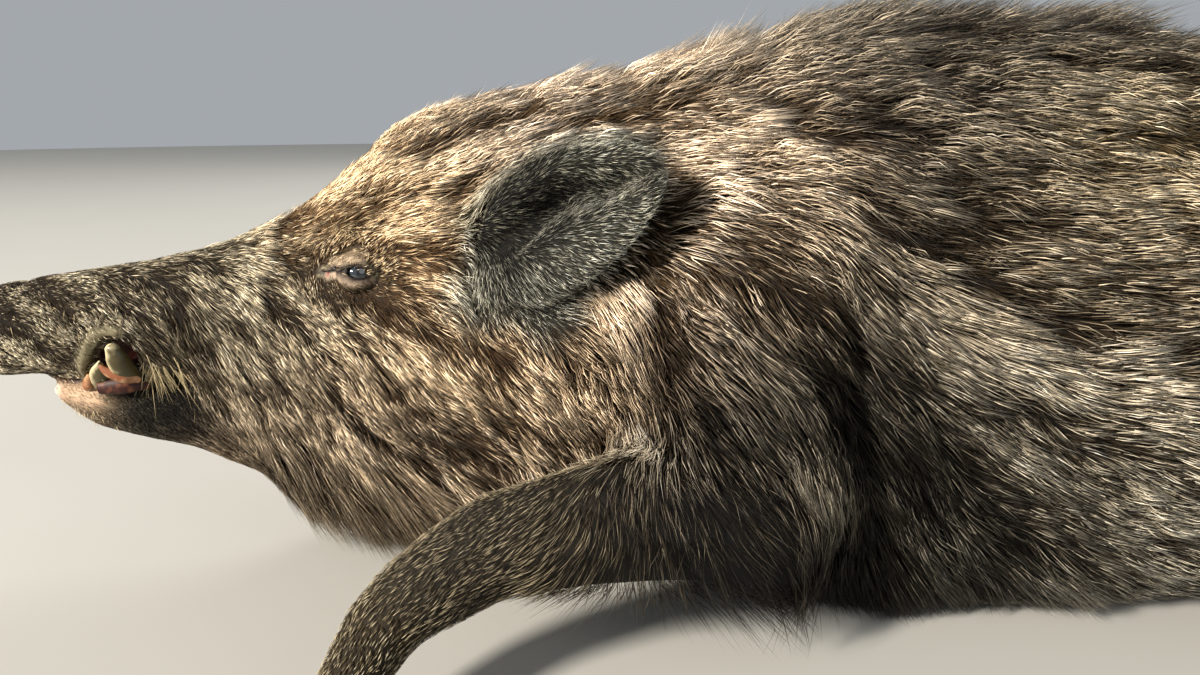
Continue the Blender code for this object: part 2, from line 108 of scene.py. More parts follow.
# ---------------------------------------------------------------------------------------------
# The lie of the coat, seen from the side: (behind, height, degrees below straight back).
# ---------------------------------------------------------------------------------------------
LIE_REACH = 0.036
EAR_LIE_REACH = 0.022
LIE = (
    (0.020, 0.215, 10), (0.080, 0.235, 4), (0.160, 0.248, 6), (0.220, 0.265, 2), (0.040, 0.190, 40),
    (0.085, 0.200, 52), (0.110, 0.212, 46), (0.150, 0.210, 58), (0.190, 0.225, 48), (0.160, 0.170, 74),
    (0.200, 0.190, 62), (0.210, 0.150, 66), (0.240, 0.230, 34), (0.250, 0.200, 48), (0.250, 0.120, 62),
    (0.290, 0.200, 42), (0.290, 0.160, 46), (0.280, 0.070, 66), (0.330, 0.060, 52), (0.390, 0.050, 34),
    (0.450, 0.050, 28), (0.300, 0.300, -24), (0.350, 0.340, -30), (0.400, 0.370, -22), (0.370, 0.290, -16),
    (0.390, 0.320, -22), (0.380, 0.230, 14), (0.370, 0.190, 34), (0.340, 0.130, 42), (0.400, 0.180, 38),
    (0.400, 0.120, 40), (0.460, 0.180, 48), (0.460, 0.120, 44), (0.520, 0.200, 54), (0.520, 0.120, 50),
    (0.555, 0.262, 34), (0.595, 0.226, 42), (0.570, 0.180, 48), (0.530, 0.163, 50), (0.546, 0.105, 60),
    (0.575, 0.070, 72), (0.605, 0.246, 42), (0.630, 0.222, 55), (0.655, 0.197, 70), (0.642, 0.247, 52),
    (0.662, 0.272, 48), (0.680, 0.247, 34), (0.692, 0.222, 38), (0.722, 0.186, 45), (0.746, 0.146, 42),
    (0.710, 0.272, 22), (0.752, 0.278, 10), (0.752, 0.230, 20), (0.788, 0.166, 16), (0.766, 0.102, 38),
    (0.610, 0.112, 64), (0.643, 0.060, 75), (0.698, 0.131, 54), (0.708, 0.065, 74),
    (0.480, 0.380, 0), (0.560, 0.385, -6), (0.560, 0.330, 10), (0.612, 0.375, 2), (0.640, 0.395, -10),
    (0.640, 0.330, 24), (0.680, 0.362, 12), (0.673, 0.395, -4), (0.716, 0.356, 20), (0.758, 0.337, 22),
    (0.798, 0.350, 15), (0.852, 0.362, 28), (0.872, 0.337, 25), (0.754, 0.307, 15), (0.816, 0.307, 5),
    (0.741, 0.410, -8), (0.843, 0.408, -4), (0.752, 0.266, 8), (0.813, 0.248, -4), (0.862, 0.250, 0),
    (0.784, 0.212, 5), (0.846, 0.200, 0), (0.800, 0.100, 18), (0.880, 0.150, 3), (0.880, 0.060, 10),
    (0.600, 0.425, -26), (0.700, 0.432, -32), (0.800, 0.432, -32), (0.900, 0.432, -26), (1.020, 0.415, -14),
    (1.000, 0.350, 0), (1.000, 0.200, 2), (1.000, 0.080, 10),
    (1.120, 0.300, 4), (1.120, 0.180, 6), (1.150, 0.080, 12), (1.240, 0.280, 12), (1.260, 0.180, 24),
    (1.340, 0.240, 26), (1.360, 0.140, 44), (1.430, 0.200, 50), (1.460, 0.120, 66),
    (0.070, 0.120, 6), (0.120, 0.105, 12), (0.180, 0.100, 28), (0.100, 0.138, 10),
)
EAR_LIE = (
    (0.414, 0.250, 96), (0.420, 0.238, 82), (0.436, 0.232, 62), (0.430, 0.255, 70), (0.448, 0.245, 52),
    (0.455, 0.262, 18), (0.470, 0.250, 40), (0.480, 0.270, 8), (0.500, 0.262, 34), (0.500, 0.295, -6),
    (0.520, 0.285, 24), (0.530, 0.305, 0), (0.425, 0.280, -34), (0.440, 0.300, -32), (0.460, 0.320, -24),
    (0.490, 0.330, -8), (0.520, 0.340, 6), (0.540, 0.325, 14), (0.416, 0.242, 98), (0.424, 0.231, 64),
    (0.438, 0.226, 22), (0.455, 0.229, -2), (0.472, 0.235, -14), (0.500, 0.255, -30), (0.522, 0.277, -36),
    (0.538, 0.300, -48),
)

# ---------------------------------------------------------------------------------------------
# Markings: each is three shades of the same bristles, dark at the root, light at the tip.
# ---------------------------------------------------------------------------------------------
GRIZZLED = ("#1f170e", "#6f644e", "#d2c6aa")
LID_TAN = ("#33281b", "#8b7a60", "#d8c6a4")
GOLDEN = ("#4f3a24", "#b99d77", "#efd7b1")
TAN = ("#2f2114", "#8a765c", "#dfc9a8")
JOWL = ("#241a10", "#857560", "#d6c2a6")
NECK_BROWN = ("#21170e", "#85725a", "#d6c0a4")
NAPE = ("#372a1c", "#9b876c", "#dcc7aa")
PALE_NAPE = ("#40311f", "#b09d86", "#eedcc4")
SHOULDER_DARK = ("#0f0b07", "#40382c", "#9a9180")
# Near-black bristles painted as shade: under the whiskers at the corner of the mouth, in the recess along the top of
# the jaw, in the ear's valley, behind and under the shoulder, in the armpit and beneath the leg.
PAINTED_SHADE = ("#040302", "#0b0907", "#27231c")
FLANK_BROWN = ("#241b10", "#645846", "#b1a28a")
PALE_GRIZZLE = ("#2a2116", "#8c8068", "#dcd2b8")
FLANK_GREY = ("#1b160f", "#7e7665", "#cac2af")
BACK_DARK = ("#17110b", "#473f34", "#948875")
STRAW = ("#43361f", "#b3a180", "#ecdbb9")
EAR_BLACK = ("#11100c", "#59564a", "#b3ae9a")
EAR_GREY = ("#2b2a22", "#b0ad9a", "#f1eddb")
EAR_PALE = ("#2c2b24", "#aba897", "#efecdc")
LEG_BLACK = ("#2e281e", "#6a604d", "#8c816a")
FOOT_BROWN = ("#3a3122", "#807560", "#a79c80")
JAW_PINK = ("#8e765c", "#c3a98d", "#ecd8bd")
JAW_GREY = ("#14110c", "#38342a", "#7b7563")

MARKS = (
    # (shades, behind, height, reach)
    (GRIZZLED, 0.040, 0.200, 0.030), (PALE_GRIZZLE, 0.098, 0.205, 0.026), (PALE_GRIZZLE, 0.075, 0.195, 0.016), (GRIZZLED, 0.120, 0.220, 0.050), (GRIZZLED, 0.200, 0.200, 0.045),
    # The near-black spot 0.172 behind and 0.146 high is painted shade under the whiskers at the corner of the mouth.
    (GRIZZLED, 0.200, 0.255, 0.035), (PALE_GRIZZLE, 0.140, 0.248, 0.024), (PAINTED_SHADE, 0.172, 0.146, 0.013), (BACK_DARK, 0.187, 0.200, 0.029),
    (PALE_GRIZZLE, 0.238, 0.192, 0.031), (GRIZZLED, 0.265, 0.210, 0.040), (LID_TAN, 0.320, 0.250, 0.026),
    (PALE_GRIZZLE, 0.317, 0.212, 0.018), (GOLDEN, 0.308, 0.277, 0.018), (GOLDEN, 0.382, 0.270, 0.020),
    (JOWL, 0.250, 0.140, 0.045), (GOLDEN, 0.290, 0.300, 0.026), (GOLDEN, 0.345, 0.330, 0.040),
    (JOWL, 0.392, 0.343, 0.034), (GOLDEN, 0.375, 0.262, 0.032), (TAN, 0.340, 0.195, 0.036),
    (JOWL, 0.300, 0.120, 0.050), (JOWL, 0.360, 0.070, 0.050), (BACK_DARK, 0.240, 0.080, 0.026), (TAN, 0.400, 0.170, 0.046),
    (GOLDEN, 0.436, 0.190, 0.026), (JOWL, 0.420, 0.090, 0.044), (NECK_BROWN, 0.480, 0.200, 0.046),
    (NAPE, 0.487, 0.150, 0.034), (SHOULDER_DARK, 0.540, 0.060, 0.046), (NECK_BROWN, 0.545, 0.205, 0.026),
    # The dark spot 0.566 behind and 0.290 high is the ear's cast shadow on the neck, painted.
    (BACK_DARK, 0.566, 0.290, 0.010), (PALE_NAPE, 0.570, 0.246, 0.026),
    (PALE_NAPE, 0.480, 0.358, 0.036), (NAPE, 0.560, 0.375, 0.042), (PALE_NAPE, 0.585, 0.335, 0.040),
    (NAPE, 0.640, 0.345, 0.026), (BACK_DARK, 0.685, 0.375, 0.030), (NECK_BROWN, 0.620, 0.285, 0.030),
    # The near-black spots behind and under the shoulder and in the armpit are painted shade over dark hair.
    (FLANK_BROWN, 0.622, 0.244, 0.026), (SHOULDER_DARK, 0.612, 0.195, 0.030), (PAINTED_SHADE, 0.605, 0.150, 0.048), (PAINTED_SHADE, 0.635, 0.130, 0.040), (PAINTED_SHADE, 0.580, 0.130, 0.026), (PAINTED_SHADE, 0.593, 0.200, 0.024), (PAINTED_SHADE, 0.655, 0.170, 0.026),
    (SHOULDER_DARK, 0.700, 0.240, 0.040), (PAINTED_SHADE, 0.650, 0.090, 0.044), (PAINTED_SHADE, 0.720, 0.110, 0.046),
    (PAINTED_SHADE, 0.660, 0.150, 0.036), (PAINTED_SHADE, 0.690, 0.150, 0.034), (SHOULDER_DARK, 0.740, 0.180, 0.030),
    (PAINTED_SHADE, 0.770, 0.060, 0.034), (BACK_DARK, 0.600, 0.420, 0.030), (BACK_DARK, 0.700, 0.425, 0.045),
    (BACK_DARK, 0.800, 0.420, 0.050), (BACK_DARK, 0.900, 0.415, 0.050), (BACK_DARK, 1.020, 0.400, 0.055),
    (BACK_DARK, 1.150, 0.375, 0.060), (BACK_DARK, 1.280, 0.330, 0.060), (BACK_DARK, 1.400, 0.260, 0.060),
    (BACK_DARK, 0.740, 0.330, 0.046), (FLANK_BROWN, 0.780, 0.250, 0.050), (FLANK_GREY, 0.815, 0.165, 0.050),
    (STRAW, 0.856, 0.334, 0.028), (FLANK_BROWN, 0.880, 0.280, 0.050), (FLANK_BROWN, 0.900, 0.200, 0.050),
    (FLANK_GREY, 0.900, 0.100, 0.055), (FLANK_BROWN, 1.050, 0.260, 0.060), (FLANK_GREY, 1.050, 0.110, 0.065),
    (STRAW, 0.940, 0.330, 0.030), (FLANK_BROWN, 1.200, 0.250, 0.065), (FLANK_GREY, 1.200, 0.110, 0.065),
    (FLANK_BROWN, 1.330, 0.210, 0.060), (BACK_DARK, 1.440, 0.130, 0.060),
)
JAW_MARKS = (
    (JAW_PINK, 0.060, 0.138, 0.016), (JAW_PINK, 0.093, 0.136, 0.015), (JAW_GREY, 0.085, 0.112, 0.018),
    # The near-black spots along the top of the jaw are painted shade in the recess under the overhanging cheek.
    (JAW_GREY, 0.125, 0.110, 0.024), (PAINTED_SHADE, 0.140, 0.136, 0.014), (PAINTED_SHADE, 0.165, 0.130, 0.018),
    (PAINTED_SHADE, 0.190, 0.124, 0.018), (JOWL, 0.215, 0.080, 0.030), (JOWL, 0.260, 0.060, 0.040),
)
EAR_MARKS = (
    (EAR_BLACK, 0.430, 0.290, 0.018), (EAR_BLACK, 0.460, 0.322, 0.018), (EAR_GREY, 0.500, 0.340, 0.018),
    # The near-black spots along the valley between the lobes are painted shade in its hollow.
    (PAINTED_SHADE, 0.440, 0.265, 0.007), (PAINTED_SHADE, 0.452, 0.276, 0.010), (PAINTED_SHADE, 0.465, 0.291, 0.012), (PAINTED_SHADE, 0.480, 0.304, 0.012),
    (PAINTED_SHADE, 0.496, 0.311, 0.010), (PAINTED_SHADE, 0.512, 0.316, 0.009), (PAINTED_SHADE, 0.532, 0.323, 0.006),
    # The small dark spot 0.438 behind and 0.246 high is painted shade in a fold of the curl at the ear's base.
    (EAR_GREY, 0.420, 0.245, 0.010), (EAR_BLACK, 0.438, 0.246, 0.007), (EAR_PALE, 0.455, 0.246, 0.012),
    (EAR_PALE, 0.475, 0.266, 0.014), (EAR_PALE, 0.500, 0.283, 0.014), (EAR_GREY, 0.525, 0.298, 0.012),
)
ARM_MARKS = (
    # The near-black spots low on the leg are painted shade beneath it.
    (LEG_BLACK, 0.420, 0.110, 0.040), (LEG_BLACK, 0.480, 0.080, 0.030), (SHOULDER_DARK, 0.555, 0.120, 0.030), (PAINTED_SHADE, 0.490, 0.060, 0.022),
    (PAINTED_SHADE, 0.560, 0.050, 0.030), (FOOT_BROWN, 0.330, 0.050, 0.030),
)
NODE_SHADES = {
    "shank": LEG_BLACK,
    "forefoot": FOOT_BROWN,
    "hindfoot": FOOT_BROWN,
    "tail": BACK_DARK,
}

# ---------------------------------------------------------------------------------------------
# The face, seen from the side: (behind, height).
# ---------------------------------------------------------------------------------------------
MOUTH_LINE = ((0.046, 0.1400), (0.064, 0.1445), (0.090, 0.1470), (0.140, 0.1475), (0.170, 0.1425), (0.190, 0.1350))
LIP_RIDGE = (
    (0.0890, 0.1500), (0.0920, 0.1600), (0.0975, 0.1720), (0.1045, 0.1850), (0.1130, 0.1930), (0.1215, 0.1955),
    (0.1290, 0.1940),
)
TUSK_NOTCH = (
    (0.1240, 0.1790), (0.1310, 0.1740), (0.1340, 0.1570), (0.1060, 0.1565), (0.1160, 0.1700),
)
DISC_CREASE = ((0.020, 0.1600), (0.027, 0.1900), (0.032, 0.2120), (0.040, 0.2290))
MUZZLE_CREASE = ((0.040, 0.2040), (0.060, 0.2080), (0.098, 0.2200), (0.125, 0.2260))
UPPER_LID = (
    (0.2970, 0.2452), (0.3050, 0.2470), (0.3120, 0.2485), (0.3180, 0.2500), (0.3225, 0.2514), (0.3260, 0.2529),
    (0.3310, 0.2531), (0.3365, 0.2512), (0.3415, 0.2468),
)
LOWER_LID = (
    (0.2970, 0.2448), (0.3050, 0.2464), (0.3120, 0.2477), (0.3180, 0.2490), (0.3220, 0.2498), (0.3250, 0.2470),
    (0.3300, 0.2442), (0.3360, 0.2438), (0.3415, 0.2468),
)
SLIT = ((0.3000, 0.2456), (0.3180, 0.2492), (0.3400, 0.2480))
LID_BAND = ((0.3090, 0.2520), (0.3180, 0.2556), (0.3260, 0.2584), (0.3340, 0.2578))
LOWER_BAND = ((0.3040, 0.2430), (0.3120, 0.2448), (0.3190, 0.2450), (0.3280, 0.2408), (0.3400, 0.2405))
LID_FOLD = (
    (0.3010, 0.2540), (0.3090, 0.2568), (0.3160, 0.2598), (0.3230, 0.2628), (0.3290, 0.2642), (0.3350, 0.2640),
)
UNDER_FOLD = ((0.3190, 0.2372), (0.3260, 0.2364), (0.3350, 0.2368), (0.3420, 0.2394), (0.3465, 0.2430))
REAR_FOLD = ((0.3475, 0.2580), (0.3490, 0.2500), (0.3500, 0.2440), (0.3540, 0.2410))
FRONT_FOLD = ((0.2560, 0.2440), (0.2680, 0.2475), (0.2790, 0.2500))
BROW = ((0.3000, 0.2660), (0.3150, 0.2750), (0.3350, 0.2770), (0.3550, 0.2700))
BROW_FOLD = ((0.3160, 0.2690), (0.3320, 0.2700))
SHOULDER_FOLD = (
    (0.6500, 0.3050), (0.6640, 0.2700), (0.6700, 0.2450), (0.6730, 0.2150), (0.6720, 0.1850), (0.6800, 0.1500),
    (0.6950, 0.1000), (0.7100, 0.0600),
)

# The ear's lower rim, the bottom of the valley between its lobes and its upper rim, each from
# the base to the tip: (behind, off the middle, height).
EAR_LOWER_RIM = (
    (0.412, 0.108, 0.250), (0.413, 0.112, 0.239), (0.422, 0.119, 0.229), (0.442, 0.129, 0.225),
    (0.470, 0.142, 0.231), (0.500, 0.157, 0.253), (0.523, 0.171, 0.276), (0.538, 0.181, 0.300), (0.546, 0.185, 0.319),
)
EAR_VALLEY = (
    (0.417, 0.100, 0.259), (0.438, 0.107, 0.263), (0.450, 0.114, 0.271), (0.462, 0.121, 0.285),
    (0.474, 0.128, 0.300), (0.489, 0.138, 0.307), (0.509, 0.152, 0.312), (0.531, 0.169, 0.320), (0.547, 0.184, 0.323),
)
EAR_UPPER_RIM = (
    (0.412, 0.100, 0.262), (0.415, 0.102, 0.278), (0.423, 0.105, 0.299), (0.443, 0.113, 0.323),
    (0.466, 0.126, 0.336), (0.487, 0.139, 0.343), (0.517, 0.158, 0.346), (0.538, 0.175, 0.340), (0.546, 0.184, 0.327),
)
# How far, in mm, each lobe swells and the valley sinks along the ear: (along, mm).
LOWER_LOBE = ((0.00, 3.0), (0.15, 12.0), (0.30, 15.0), (0.60, 14.0), (0.85, 9.0), (1.00, 3.0))
UPPER_LOBE = ((0.00, 3.0), (0.15, 10.0), (0.40, 14.0), (0.70, 12.0), (1.00, 3.0))
VALLEY_SUNK = ((0.00, 2.0), (0.15, 8.0), (0.35, 13.0), (0.75, 11.0), (1.00, 2.0))
EAR_THICKNESS = 0.0085
EAR_LEAN = math.radians(18)

# Tusks: (behind, off the middle, height, radius).
LOWER_TUSK = (
    (0.0985, 0.008, 0.1340, 0.0100), (0.1045, 0.0225, 0.1460, 0.0112), (0.1100, 0.0380, 0.1580, 0.0088),
    (0.1150, 0.0475, 0.1705, 0.0013),
)
UPPER_TUSK = (
    (0.1330, 0.034, 0.1520, 0.0080), (0.1310, 0.043, 0.1620, 0.0088), (0.1300, 0.0485, 0.1725, 0.0086),
    (0.1285, 0.0515, 0.1820, 0.0062),
)
FRONT_GUM = ((0.0900, 0.0270, 0.1430, 0.0030), (0.0950, 0.0320, 0.1480, 0.0045), (0.0995, 0.0370, 0.1560, 0.0022))
TUSK_GUM = (
    (0.1150, 0.0490, 0.1680, 0.0014), (0.1210, 0.0485, 0.1625, 0.0036), (0.1310, 0.0465, 0.1580, 0.0048),
    (0.1400, 0.0405, 0.1540, 0.0028),
)
MOUTH_LINING = ((0.1080, 0.0400, 0.1470, 0.0050), (0.1250, 0.0400, 0.1490, 0.0068), (0.1440, 0.0350, 0.1480, 0.0028))


# ---------------------------------------------------------------------------------------------
# Settings
# ---------------------------------------------------------------------------------------------
class BoarSkinSettings(bpy.types.PropertyGroup):
    """Sizes of the skin."""

    voxel: bpy.props.FloatProperty(
        name="Voxel", description="Grain of the skin where the flesh is joined", default=0.004,
        min=0.002, max=0.008, subtype="DISTANCE", unit="LENGTH",
    )
    triangles: bpy.props.IntProperty(
        name="Triangles", description="Triangles left in the skin before its face is refined", default=112000,
    )
    lip_rise: bpy.props.FloatProperty(
        name="Lip rise", description="How far the bare lip round the tusks stands out", default=0.0042,
        subtype="DISTANCE", unit="LENGTH",
    )
    notch_depth: bpy.props.FloatProperty(
        name="Tusk notch", description="Depth of the mouth's opening round the tusks", default=0.0125,
        subtype="DISTANCE", unit="LENGTH",
    )
    fold_depth: bpy.props.FloatProperty(
        name="Shoulder fold", description="Depth of the fold behind the shoulder", default=0.012,
        subtype="DISTANCE", unit="LENGTH",
    )


class BoarCoatSettings(bpy.types.PropertyGroup):
    """Sizes and shades of the coat."""

    length: bpy.props.FloatProperty(name="Length", description="Scale of the tufts' length", default=1.0)
    width: bpy.props.FloatProperty(name="Width", description="Scale of the tufts' width", default=1.0)
    density: bpy.props.FloatProperty(name="Density", description="Scale of the number of tufts", default=1.0)
    brightness: bpy.props.FloatProperty(name="Brightness", description="Scale of the coat's colours", default=1.62)
    dark_share: bpy.props.FloatProperty(
        name="Dark bristles", description="Share of bristles that stay dark to the tip", default=0.28,
        min=0.0, max=1.0, subtype="FACTOR",
    )


def linear(code):
    """An sRGB hex colour as linear red, green and blue."""
    parts = [int(code[i:i + 2], 16) / 255 for i in (1, 3, 5)]
    return tuple(p / 12.92 if p <= 0.04045 else ((p + 0.055) / 1.055) ** 2.4 for p in parts)


class BoarColourSettings(bpy.types.PropertyGroup):
    """Colours of the bare and hard parts."""

    def tint(name, code, description):
        """A colour property with an sRGB default."""
        return bpy.props.FloatVectorProperty(
            name=name, description=description, subtype="COLOR", size=3, min=0.0, max=1.0, default=linear(code),
        )

    iris: tint("Iris", "#232a30", "The iris")
    pupil: tint("Pupil", "#06070a", "The pupil")
    eye_white: tint("Eye white", "#6b5e57", "White of the eye, seen at its corners")
    lip: tint("Lip", "#7b735b", "Bare lip and lid rims")
    snout: tint("Snout disc", "#574a3f", "The disc of the snout")
    gum: tint("Gum", "#7a4a30", "Gum at the tusks")
    gum_pale: tint("Pale gum", "#b5906a", "Where the gum is drawn thin")
    # The inside of the mouth: a red-brown darkened to near black as painted shade.
    mouth: tint("Mouth", "#2e120d", "Inside of the mouth")
    # Clean ivory also paints the light on the tusks' front side, and stained ivory the shade on their rear.
    ivory: tint("Ivory", "#d9caa0", "Clean ivory")
    ivory_stain_and_shade: tint("Ivory stain", "#3b3315", "Stained ivory")
    horn: tint("Horn", "#2b241d", "Hooves and dewclaws")
    horn_pale: tint("Pale horn", "#6d5f4c", "Worn edges of the hooves")
    whisker: tint("Whisker", "#b3a27c", "Pale bristles round the mouth")
    lash: tint("Lash", "#15110d", "Lashes")
    floor: tint("Floor", "#aeada7", "The floor")


class BoarStageSettings(bpy.types.PropertyGroup):
    """The lights and the floor."""

    key_power: bpy.props.FloatProperty(name="Key light", description="Power of the main light in watts", default=105.0)
    fill_power: bpy.props.FloatProperty(name="Fill light", description="Power of the fill light in watts", default=22.0)
    floor_radius: bpy.props.FloatProperty(
        name="Floor radius", description="Radius of the floor", default=9.0, subtype="DISTANCE", unit="LENGTH",
    )


# ---------------------------------------------------------------------------------------------
# Curves and arrays
# ---------------------------------------------------------------------------------------------
def curve(points, at):
    """Values at places on the smooth line through (place, value) points, with no overshoot."""
    places, values = np.array(points, float).T
    at = np.clip(at, places[0], places[-1])
    steps = np.diff(places)
    slopes = np.diff(values) / steps
    before, after = slopes[:-1], slopes[1:]
    same = before * after > 0
    inner = np.where(same, 2 * before * after / np.where(same, before + after, 1.0), 0.0)
    tangents = np.concatenate(([slopes[0]], inner, [slopes[-1]]))
    k = np.clip(np.searchsorted(places, at, side="right") - 1, 0, len(steps) - 1)
    h = steps[k]
    t = (at - places[k]) / h
    return (
        values[k] * (1 + 2 * t) * (1 - t) ** 2
        + h * tangents[k] * t * (1 - t) ** 2
        + values[k + 1] * t * t * (3 - 2 * t)
        + h * tangents[k + 1] * t * t * (t - 1)
    )


def smooth_step(value, low, high):
    """0 below low, 1 above high and an even rise between."""
    t = np.clip((value - low) / (high - low), 0.0, 1.0)
    return t * t * (3 - 2 * t)


def bump(distance, reach):
    """1 at no distance, falling off smoothly with the reach."""
    return np.exp(-((distance / reach) ** 2))


def path_distance(points, path):
    """Shortest distance from each point to a broken line, and how far along it that is, 0 to 1."""
    path = np.array(path, float)
    best = np.full(len(points), np.inf)
    along = np.zeros(len(points))
    travelled = 0.0
    for a, b in zip(path, path[1:]):
        step = b - a
        length = np.linalg.norm(step)
        t = np.clip((points - a) @ step / length**2, 0.0, 1.0)
        distance = np.linalg.norm(points - a - t[:, None] * step, axis=1)
        nearer = distance < best
        best[nearer] = distance[nearer]
        along[nearer] = travelled + t[nearer] * length
        travelled += length
    return best, along / travelled


def unit(vectors):
    """The vectors at length 1."""
    return vectors / np.maximum(np.linalg.norm(vectors, axis=-1, keepdims=True), 1e-12)


def flattened(vectors, normals):
    """The vectors laid into the surface whose normals are given, at length 1."""
    return unit(vectors - np.sum(vectors * normals, axis=1, keepdims=True) * normals)


def ripple(points, size, seed):
    """An uneven smooth variation of about -1 to 1 whose patches are about the given size."""
    random = np.random.default_rng(seed)
    total = np.zeros(len(points))
    waves = 7
    for _ in range(waves):
        direction = unit(random.normal(size=3)) * (math.tau / size) * random.uniform(0.5, 1.1)
        total += np.sin(points @ direction + random.uniform(0, math.tau))
    return total / math.sqrt(waves)


def mesh_arrays(mesh):
    """A mesh's points and triangles."""
    points = np.empty(len(mesh.vertices) * 3)
    mesh.vertices.foreach_get("co", points)
    mesh.calc_loop_triangles()
    triangles = np.empty(len(mesh.loop_triangles) * 3, np.int32)
    mesh.loop_triangles.foreach_get("vertices", triangles)
    return points.reshape(-1, 3), triangles.reshape(-1, 3)


def mesh_from_arrays(name, points, triangles, smooth=True):
    """A mesh of triangles."""
    mesh = bpy.data.meshes.new(name)
    mesh.vertices.add(len(points))
    mesh.vertices.foreach_set("co", np.ascontiguousarray(points, np.float32).ravel())
    mesh.loops.add(len(triangles) * 3)
    mesh.loops.foreach_set("vertex_index", np.ascontiguousarray(triangles, np.int32).ravel())
    mesh.polygons.add(len(triangles))
    mesh.polygons.foreach_set("loop_start", np.arange(0, len(triangles) * 3, 3, dtype=np.int32))
    mesh.polygons.foreach_set("use_smooth", np.full(len(triangles), smooth))
    mesh.update(calc_edges=True)
    return mesh


def add_point_colours(mesh, name, colours):
    """Write linear colours to the mesh's points."""
    layer = mesh.color_attributes.new(name, "FLOAT_COLOR", "POINT")
    full = np.ones((len(colours), 4), np.float32)
    full[:, :3] = colours
    layer.data.foreach_set("color", full.ravel())


def add_bake_map(mesh, places):
    """Write the bake map, one place for each corner."""
    layer = mesh.uv_layers.new(name="OFBake")
    layer.data.foreach_set("uv", np.ascontiguousarray(places, np.float32).ravel())


def point_normals(points, triangles):
    """Normals at the points, weighted by the area of their faces."""
    a, b, c = (points[triangles[:, i]] for i in range(3))
    faces = np.cross(b - a, c - a)
    total = np.zeros_like(points)
    for i in range(3):
        for axis in range(3):
            total[:, axis] += np.bincount(triangles[:, i], faces[:, axis], len(points))
    return unit(total)


def edge_pairs(triangles):
    """Each edge of the triangles once."""
    pairs = np.concatenate([triangles[:, [0, 1]], triangles[:, [1, 2]], triangles[:, [2, 0]]])
    pairs.sort(axis=1)
    width = int(pairs.max()) + 1
    return np.array(np.divmod(np.unique(pairs[:, 0].astype(np.int64) * width + pairs[:, 1]), width)).T


class Spreader:
    """Averages values over each point's neighbours."""

    def __init__(self, triangles, count):
        self.first, self.second = edge_pairs(triangles).T
        self.count = count
        self.degree = np.bincount(self.first, minlength=count) + np.bincount(self.second, minlength=count)
        self.degree = np.maximum(self.degree, 1)

    def average(self, values):
        """The mean of each point's neighbours."""
        out = np.empty_like(values)
        for i in range(values.shape[1]):
            column = values[:, i]
            out[:, i] = np.bincount(self.first, column[self.second], self.count)
            out[:, i] += np.bincount(self.second, column[self.first], self.count)
        return out / self.degree[:, None]

    def relax(self, values, rounds, share=0.5):
        """Values spread for a number of rounds, which may differ from point to point."""
        flat = values.ndim == 1
        values = (values[:, None] if flat else values).copy()
        rounds = np.broadcast_to(np.asarray(rounds), (self.count,))
        for i in range(int(rounds.max())):
            moving = (rounds > i)[:, None]
            values += np.where(moving, (self.average(values) - values) * share, 0.0)
        return values[:, 0] if flat else values


def side_view(points):
    """Places seen from the side: behind the snout, and height."""
    return np.stack([points[:, 0] - SNOUT_X, points[:, 2]], axis=1)


# ---------------------------------------------------------------------------------------------
# Objects and materials
# ---------------------------------------------------------------------------------------------
def add_object(name, mesh):
    """An object at the origin with the mesh."""
    obj = bpy.data.objects.new(name, mesh)
    bpy.context.scene.collection.objects.link(obj)
    return obj


def final_mesh(obj, name):
    """The object's mesh with its modifiers applied, and the object removed."""
    depsgraph = bpy.context.evaluated_depsgraph_get()
    mesh = bpy.data.meshes.new_from_object(obj.evaluated_get(depsgraph), depsgraph=depsgraph)
    mesh.name = name
    old = obj.data
    bpy.data.objects.remove(obj)
    if old.users == 0:
        bpy.data.meshes.remove(old)
    return mesh


def finish_piece(obj, slot, *nodes):
    """Tie a piece to the frame's root body and hide the solids that it stands for; the slot is not used."""
    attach(obj, "root")
    if nodes:
        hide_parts(*nodes)


def add_node(tree, kind, settings=None, **links):
    """Add a shader node with its settings, and its inputs as values or links. Returns the node."""
    node = tree.nodes.new(kind)
    for key, value in (settings or {}).items():
        setattr(node, key, value)
    for key, value in links.items():
        socket = node.inputs[int(key[1:])] if key[0] == "_" and key[1:].isdigit() else node.inputs[key.replace("_", " ")]
        if isinstance(value, bpy.types.NodeSocket):
            tree.links.new(value, socket)
        else:
            socket.default_value = value
    return node


def new_material(name):
    """An empty node material with its output. Returns the material and its tree."""
    material = bpy.data.materials.new(name)
    material.use_nodes = True
    material.node_tree.nodes.clear()
    return material, material.node_tree


def end_material(tree, shader):
    """Link the shader to the output."""
    output = add_node(tree, "ShaderNodeOutputMaterial")
    tree.links.new(shader.outputs[0], output.inputs["Surface"])


def bristle_material():
    """Boar bristle: keratin hair, stiff and slightly glossy, so it glints along its length."""
    material, tree = new_material("boar_bristle_keratin")
    place = add_node(tree, "ShaderNodeTexCoord").outputs["Object"]
    marking = add_node(tree, "ShaderNodeAttribute", {"attribute_name": "marking"}).outputs["Color"]
    # Fine mottling of 4 mm, the scale at which neighbouring bristles differ.
    grain = add_node(tree, "ShaderNodeTexNoise", Vector=place, Scale=1 / (4 * MM), Detail=2.0).outputs["Fac"]
    shade = add_node(tree, "ShaderNodeMapRange", _0=grain, _1=0.25, _2=0.75, _3=0.72, _4=1.28).outputs["Result"]
    colour = add_node(tree, "ShaderNodeVectorMath", {"operation": "SCALE"}, _0=marking, Scale=shade).outputs[0]
    shader = add_node(tree, "ShaderNodeBsdfPrincipled", Base_Color=colour, Roughness=0.50)
    shader.inputs["Specular IOR Level"].default_value = 0.12
    end_material(tree, shader)
    return material


